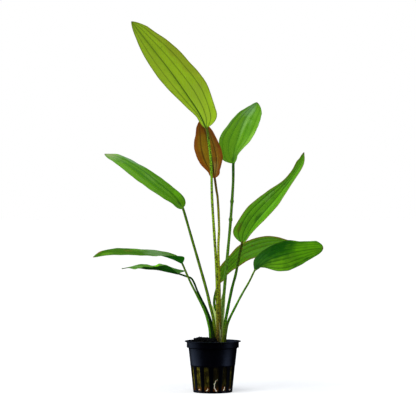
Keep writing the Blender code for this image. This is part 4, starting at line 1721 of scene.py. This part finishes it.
def leaves() -> list[Leaf]:
    """The nine leaves, in the frame's own places.

    Returns:
        The leaves.
    """
    return [
        Leaf(
            name="top",
            stalk=(
                (4.8, -5.8), (4.5, -6.5, 80), (3.6, -8, 119), (1.8, -9.5, 148), (-0.7, -12.5, 187),
                (-1.8, -16, 223), (-5.6, -20, 256),
            ),
            rib=(
                (-6.2, -20, 257), (-12.4, -22, 270.4), (-22.1, -25, 285.2), (-41.2, -33, 311.7),
                (-60.2, -42, 335.4), (-77.5, -51, 357.1),
            ),
            facing=((0.3, 1.0, 0.35), (0.3, 1.0, 0.45)), left=(16, 22, 20.5, 17, 9.5),
            right=(5, 12.5, 16.5, 14.5, 7), thick=(1.7, 1.2), fold=(13, 13, 1), lobes=(1, 0),
            veins=((0.36, 0.69), (0.5,)),
            marks=(
                Mark(0.6, -0.85, 0.35, 0.3, chip(140, 120, 30), 0.35, below=True),
                Mark(0.5, 0.6, 0.5, 0.5, chip(186, 220, 40), 0.5, below=True),
                Mark(0.2, -0.4, 0.2, 0.4, chip(150, 176, 50), 0.4, below=True),
            ),
            quilt=0.15, sheath=Sheath(16, 0.5, 0.5), skin=LIT_SKIN, bark=BRIGHT_STALK,
        ),
        Leaf(
            name="young",
            stalk=(
                (6.9, -0.4), (6.5, 0.5, 99.5), (5.4, 1, 138.6), (6.1, 1.5, 160), (4.9, 2, 187.4),
                (3.5, 2.5, 197.2), (2, 3, 208),
            ),
            rib=((1.7, 3, 209), (-1.8, 3.6, 228.5), (-4.2, 4, 241.2), (-6.7, 4, 252), (-12, 4, 266)),
            facing=((-0.15, -1.0, 0.0), (-0.15, -1.0, 0.0)), left=(5, 12, 14.5, 12.5, 7),
            right=(6.5, 12, 11.5, 8.5, 4.5), thick=(1.5, 1.15), fold=(10, 10, 1), veins=((0.52,), (0.45,)),
            marks=(
                Mark(0.9, 0.0, 0.14, 1.0, chip(122, 58, 2), 0.7),
                Mark(0.15, 0.4, 0.16, 0.5, chip(150, 130, 60), 0.6),
                Mark(0.45, -0.3, 0.3, 0.3, chip(130, 108, 8), 0.6),
                Mark(0.2, 0.08, 0.3, 0.12, chip(20, 34, 6), 0.7),
            ),
            quilt=0.35, sheath=Sheath(16, 0.5, 0.5), skin=BRONZE_SKIN, bark=BROWN_STALK, slot=Slot.BRONZE,
        ),
        Leaf(
            name="high_right",
            stalk=(
                (7.0, 4.2), (8.5, 4.6, 70), (10.5, 6, 89.5), (13.5, 9.5, 123.7), (17.2, 14.5, 162.9),
                (20, 21, 202.3), (20.3, 25, 222.6),
            ),
            rib=((20.4, 25, 223.6), (22.1, 29, 239), (30.1, 36, 263.1), (36.1, 40, 274.2), (44.7, 45, 284.9)),
            facing=((-0.5, -0.87, 0.2), (0.45, -0.85, 0.3)), left=(13, 17.5, 14.3, 9.4, 3.6),
            right=(5, 13.8, 15.6, 15, 10.9), thick=(1.65, 1.35), fold=(25, 12, 1), lobes=(0.5, 0), tip=0.5,
            veins=((0.42, 0.8), (0.36, 0.72)),
            marks=(
                # painted sheen: a pale bluish patch left of the tip
                Mark(0.85, -0.3, 0.16, 0.6, chip(124, 164, 110), 0.6),
                Mark(0.6, 0.1, 0.2, 0.12, chip(120, 164, 84), 0.5),
                Mark(0.3, 0.9, 0.25, 0.25, chip(128, 176, 60), 0.6),
                Mark(0.5, 0.5, 0.3, 0.3, chip(72, 128, 20), 0.6),
                Mark(0.03, 0.0, 0.08, 0.4, chip(20, 70, 4), 0.7),
            ),
            quilt=0.35, ruffle=0.06, sheath=Sheath(52, 3.0, 5.0, lean=(1.25, 0.3)),
            knots=((0.68, 0.5), (0.78, 0.4)), skin=SOFT_SKIN, bark=PALE_STALK,
        ),
        Leaf(
            name="mid_right",
            stalk=(
                (9.7, -3), (10.9, -3.2, 59.7), (12.8, -4, 72.4), (18.2, -8, 99.8), (22, -12, 114.6),
                (24.4, -16, 127.3), (27.8, -24.4, 144.6),
            ),
            rib=(
                (28.1, -25, 145.4), (41.4, -31, 166.1), (64.2, -40, 193.5), (83, -47, 219.7),
                (86.7, -50, 232.7),
            ),
            facing=((-0.57, -0.8, 0.2), (-0.57, -0.8, 0.2)), left=(15, 15.3, 11.6, 5.2, 5.3),
            right=(5, 11.5, 12.6, 7.8, 5.8), thick=(1.7, 1.25), fold=(32, 32, 1), lobes=(4, 1),
            veins=((0.4, 0.72), (0.5,)),
            marks=(
                Mark(0.28, -0.1, 0.06, 0.12, chip(14, 70, 4), 0.6),
                Mark(0.46, -0.42, 0.04, 0.1, chip(120, 170, 60), 0.6),
                Mark(0.12, -0.75, 0.05, 0.12, chip(90, 60, 10), 0.5),
                Mark(0.5, 0.5, 0.5, 0.5, chip(92, 150, 20), 0.25),
            ),
            sheath=Sheath(20, 1.4, 0.6), skin=RED_EDGE_SKIN, bark=DARK_STALK,
        ),
        Leaf(
            name="rear_right",
            stalk=(
                (2.8, 4.6), (3.4, 4.4, 60.2), (2.9, 6, 77.7), (1.3, 8.5, 86.5), (2.7, 12.5, 96.1),
                (5.8, 17.6, 104.9),
            ),
            rib=(
                (6.1, 18, 105.7), (12.5, 22, 117), (19, 26, 124.2), (33.1, 35, 134.9), (59.3, 47, 143.1),
                (86.7, 58, 145.6),
            ),
            facing=((-0.4, -0.8, 0.45), (-0.1, -0.75, 0.65)), left=(7.5, 9, 12, 11, 3),
            right=(5, 11, 13, 12, 6), thick=(1.45, 1.2), fold=(12, 12, 1), veins=((0.36, 0.7), (0.45,)),
            sheath=Sheath(16, 0.6, 0.6), skin=OLIVE_SKIN, bark=DARK_STALK,
        ),
        Leaf(
            name="low_right",
            stalk=(
                (11.5, 1.3), (12.9, 1, 59.4), (15.3, 0.3, 69.2), (22.6, -3.5, 84.5), (28.4, -9, 96),
                (35, -18, 108), (39.7, -29, 118.5),
            ),
            rib=(
                (40, -30, 119.5), (53.7, -40, 129.8), (72.4, -50, 136.1), (87.4, -56, 139.3),
                (104.4, -62, 141.7),
            ),
            facing=((-0.1, -0.86, 0.5), (-0.1, -0.86, 0.5)), left=(12.5, 16, 17, 12, 9.5),
            right=(1.5, 12, 16.8, 13.8, 7.5), thick=(1.5, 0.9), fold=(-10, -10, 1), lobes=(7, 0), tip=0.5,
            veins=((0.3, 0.58, 0.82), (0.28, 0.54, 0.8)), quilt=0.3,
            marks=(
                # painted shade: a dark patch on the blade's left half
                Mark(0.38, -0.7, 0.26, 0.55, chip(4, 56, 0), 0.8),
                # painted light: a lighter patch on the blade's right half
                Mark(0.3, 0.6, 0.3, 0.6, chip(88, 142, 0), 0.75),
                Mark(0.86, 0.0, 0.26, 1.2, chip(72, 128, 0), 0.9),
                Mark(0.05, -0.1, 0.07, 0.5, chip(10, 50, 0), 0.7),
            ),
            sheath=Sheath(25, 1.2, 1.6), skin=DEEP_SKIN, bark=SLIM_STALK,
        ),
        Leaf(
            name="high_left",
            stalk=(
                (2.9, -2.4), (0.7, -3, 70.4), (-2.8, -4, 85.1), (-6.2, -5, 99.7), (-13.9, -8, 127.1),
                (-21.2, -11, 152.4), (-28.6, -14.8, 178),
            ),
            rib=(
                (-29.1, -15, 179.1), (-39.6, -16, 190.3), (-56.1, -14, 203.8), (-75.7, -9, 219.5),
                (-90.5, -4, 227.6), (-105.9, 3, 232.4),
            ),
            facing=((0.45, -0.6, 0.66), (0.45, -0.6, 0.66)), left=(6.5, 11, 13, 12.5, 6.5),
            right=(16, 15, 13, 8, 8.5), thick=(1.65, 1.2), fold=(-7, -7, 1), lobes=(0, 3),
            veins=((0.5,), (0.42,)), quilt=0.45, nibble=0.3,
            marks=(
                # The next two are painted sheen: pale bluish patches at the tip.
                Mark(0.93, 0.0, 0.16, 1.2, chip(124, 146, 100), 0.5),
                Mark(0.95, 0.2, 0.07, 0.9, chip(128, 146, 90), 0.9),
                Mark(0.9, 0.8, 0.05, 0.3, chip(96, 152, 4), 0.6),
                # painted highlight: a pale bluish patch on the right half
                Mark(0.72, 0.75, 0.14, 0.25, chip(112, 142, 112), 0.5),
                Mark(0.55, -0.75, 0.42, 0.3, chip(92, 144, 20), 0.5),
                Mark(0.5, 0.25, 0.5, 0.14, chip(24, 84, 0), 0.5),
                Mark(0.5, -0.25, 0.5, 0.14, chip(30, 90, 0), 0.4),
                Mark(0.13, 0.7, 0.06, 0.3, chip(92, 160, 4), 0.6),
                Mark(0.04, 0.0, 0.06, 0.3, chip(20, 60, 4), 0.7),
            ),
            sheath=Sheath(42, 4.6, 1.4, lean=(1.15, 0.75)), skin=RIDGED_SKIN, bark=GREEN_STALK,
        ),
        Leaf(
            name="low_left",
            stalk=(
                (-2.2, -3), (-3.2, -3.3, 62.6), (-7.1, -5, 77.3), (-12.5, -7.5, 89.1), (-22.2, -14.5, 108.8),
                (-29.1, -20.8, 125),
            ),
            rib=(
                (-29.5, -21.5, 126.2), (-39.4, -26, 131.2), (-53.7, -31, 135.4), (-71.8, -37, 137.4),
                (-90.7, -42, 138.2), (-105, -44, 136.5), (-114.5, -45, 132.6),
            ),
            facing=((0.0, -0.12, 0.99), (0.0, -0.31, 0.95)), left=(10, 12.5, 13, 12, 7.3),
            right=(10, 13, 13.5, 12, 7.3), thick=(1.5, 1.0), fold=(48, -2, 5), lobes=(3, 0),
            veins=((0.5,), (0.5,)), quilt=0.3,
            left_fold=((0, 62), (0.05, 48), (0.1, 34), (0.16, 20), (0.24, 9), (0.33, 1), (0.42, -2), (1, -2)),
            marks=(
                Mark(0.62, 0.1, 0.05, 0.2, chip(120, 84, 30), 0.35),
                # painted sheen: a pale bluish patch over the blade near its base
                Mark(0.26, 0.0, 0.2, 1.2, chip(112, 144, 96), 0.6),
                Mark(0.93, 0.8, 0.04, 0.4, chip(140, 74, 36), 0.7),
                Mark(0.5, 0.75, 0.1, 0.3, chip(110, 170, 40), 0.4),
                Mark(0.85, -0.5, 0.08, 0.4, chip(110, 165, 36), 0.4),
            ),
            sheath=Sheath(26, 4.0, 0.6), skin=FLAT_SKIN, bark=LEAF_STALK,
        ),
        Leaf(
            name="twisted_left",
            stalk=(
                (0.4, 1.3), (-0.3, 1.3, 62.3), (-5.2, 1.5, 78), (-14, 3, 96), (-18.4, 4, 106.7),
                (-21.3, 4.5, 111), (-25.3, 5, 112.5), (-33, 5.9, 115.1),
            ),
            rib=(
                (-33.7, 6, 115.4), (-43.9, 9, 117.2), (-54.9, 14, 119.2), (-65.9, 20, 119.6),
                (-77.9, 25, 121.3), (-90.2, 30, 119.6),
            ),
            facing=((0.0, -0.1, 1.0), (0.0, -0.3, 0.95)), left=(8, 9, 8.5, 7, 3), right=(8, 9, 8.5, 7, 3),
            thick=(1.4, 0.9), fold=(45, -8, 2), lobes=(1, 20), ripple=(0.9, 2.5, 0.3), veins=((0.5,), (0.5,)),
            right_fold=((0, 40), (0.2, 24), (0.32, 24), (0.4, 33), (0.47, 24), (0.6, 16), (0.75, 6), (1, -6)),
            left_fold=(
                (0, 18), (0.06, 30), (0.12, 50), (0.2, 63), (0.27, 56), (0.34, 36), (0.42, 24), (0.54, 24),
                (0.64, 22), (0.72, 4), (0.8, -6), (1, -8),
            ),
            marks=(
                Mark(0.42, 0.7, 0.05, 0.7, chip(120, 200, 4), 0.9),
                Mark(0.12, 0.7, 0.14, 0.7, chip(30, 84, 10), 0.8),
                Mark(0.17, 0.6, 0.03, 0.3, chip(116, 176, 60), 0.8),
            ),
            sheath=Sheath(22, 1.6, 1.2), skin=SHADED_SKIN, bark=SHADOWED_BLACK_STALK,
        ),
    ]


def roots(pot: Pot) -> list[Root]:
    """The five roots that show in the slots.

    Args:
        pot: the pot whose slots they lie in.
    Returns:
        The roots.
    """
    return [
        Root(
            pot, "root_front", 0,
            (
                (3.6, 3.6), (2.4, 2.3), (0, 2.7), (-1.4, 4.2), (-3.9, 5.4), (-3.4, 7.5), (-3.9, 9),
                (-1.6, 10.4), (-0.6, 12), (2.4, 12.6), (3.4, 13.6),
            ),
        ),
        Root(pot, "root_front_left", -1, ((-3, 2.6), (0.5, 3), (3.5, 4.6))),
        Root(pot, "root_left", -2, ((3, 2.7), (0, 3.6), (-3.5, 2.9))),
        Root(pot, "root_front_right", 1, ((-2, 2.6), (1, 4.2), (2.5, 6.4))),
        Root(pot, "root_right", 2, ((-3.5, 3.4), (0, 2.7), (3.5, 3.6))),
    ]


def write_size() -> None:
    """Update the view layer, so that every piece's place is worked out."""
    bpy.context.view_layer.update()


def main() -> None:
    """Build the studio and every piece of the plant."""
    logging.basicConfig(level=logging.INFO, format="%(message)s")
    Studio().build()
    pot = Pot()
    pot.build()
    Wool(pot).build()
    Soil(pot).build()
    Crown().build()
    for leaf in leaves():
        leaf.build()
    for root in roots(pot):
        root.build()
    write_size()


if __name__ == "__main__":
    main()
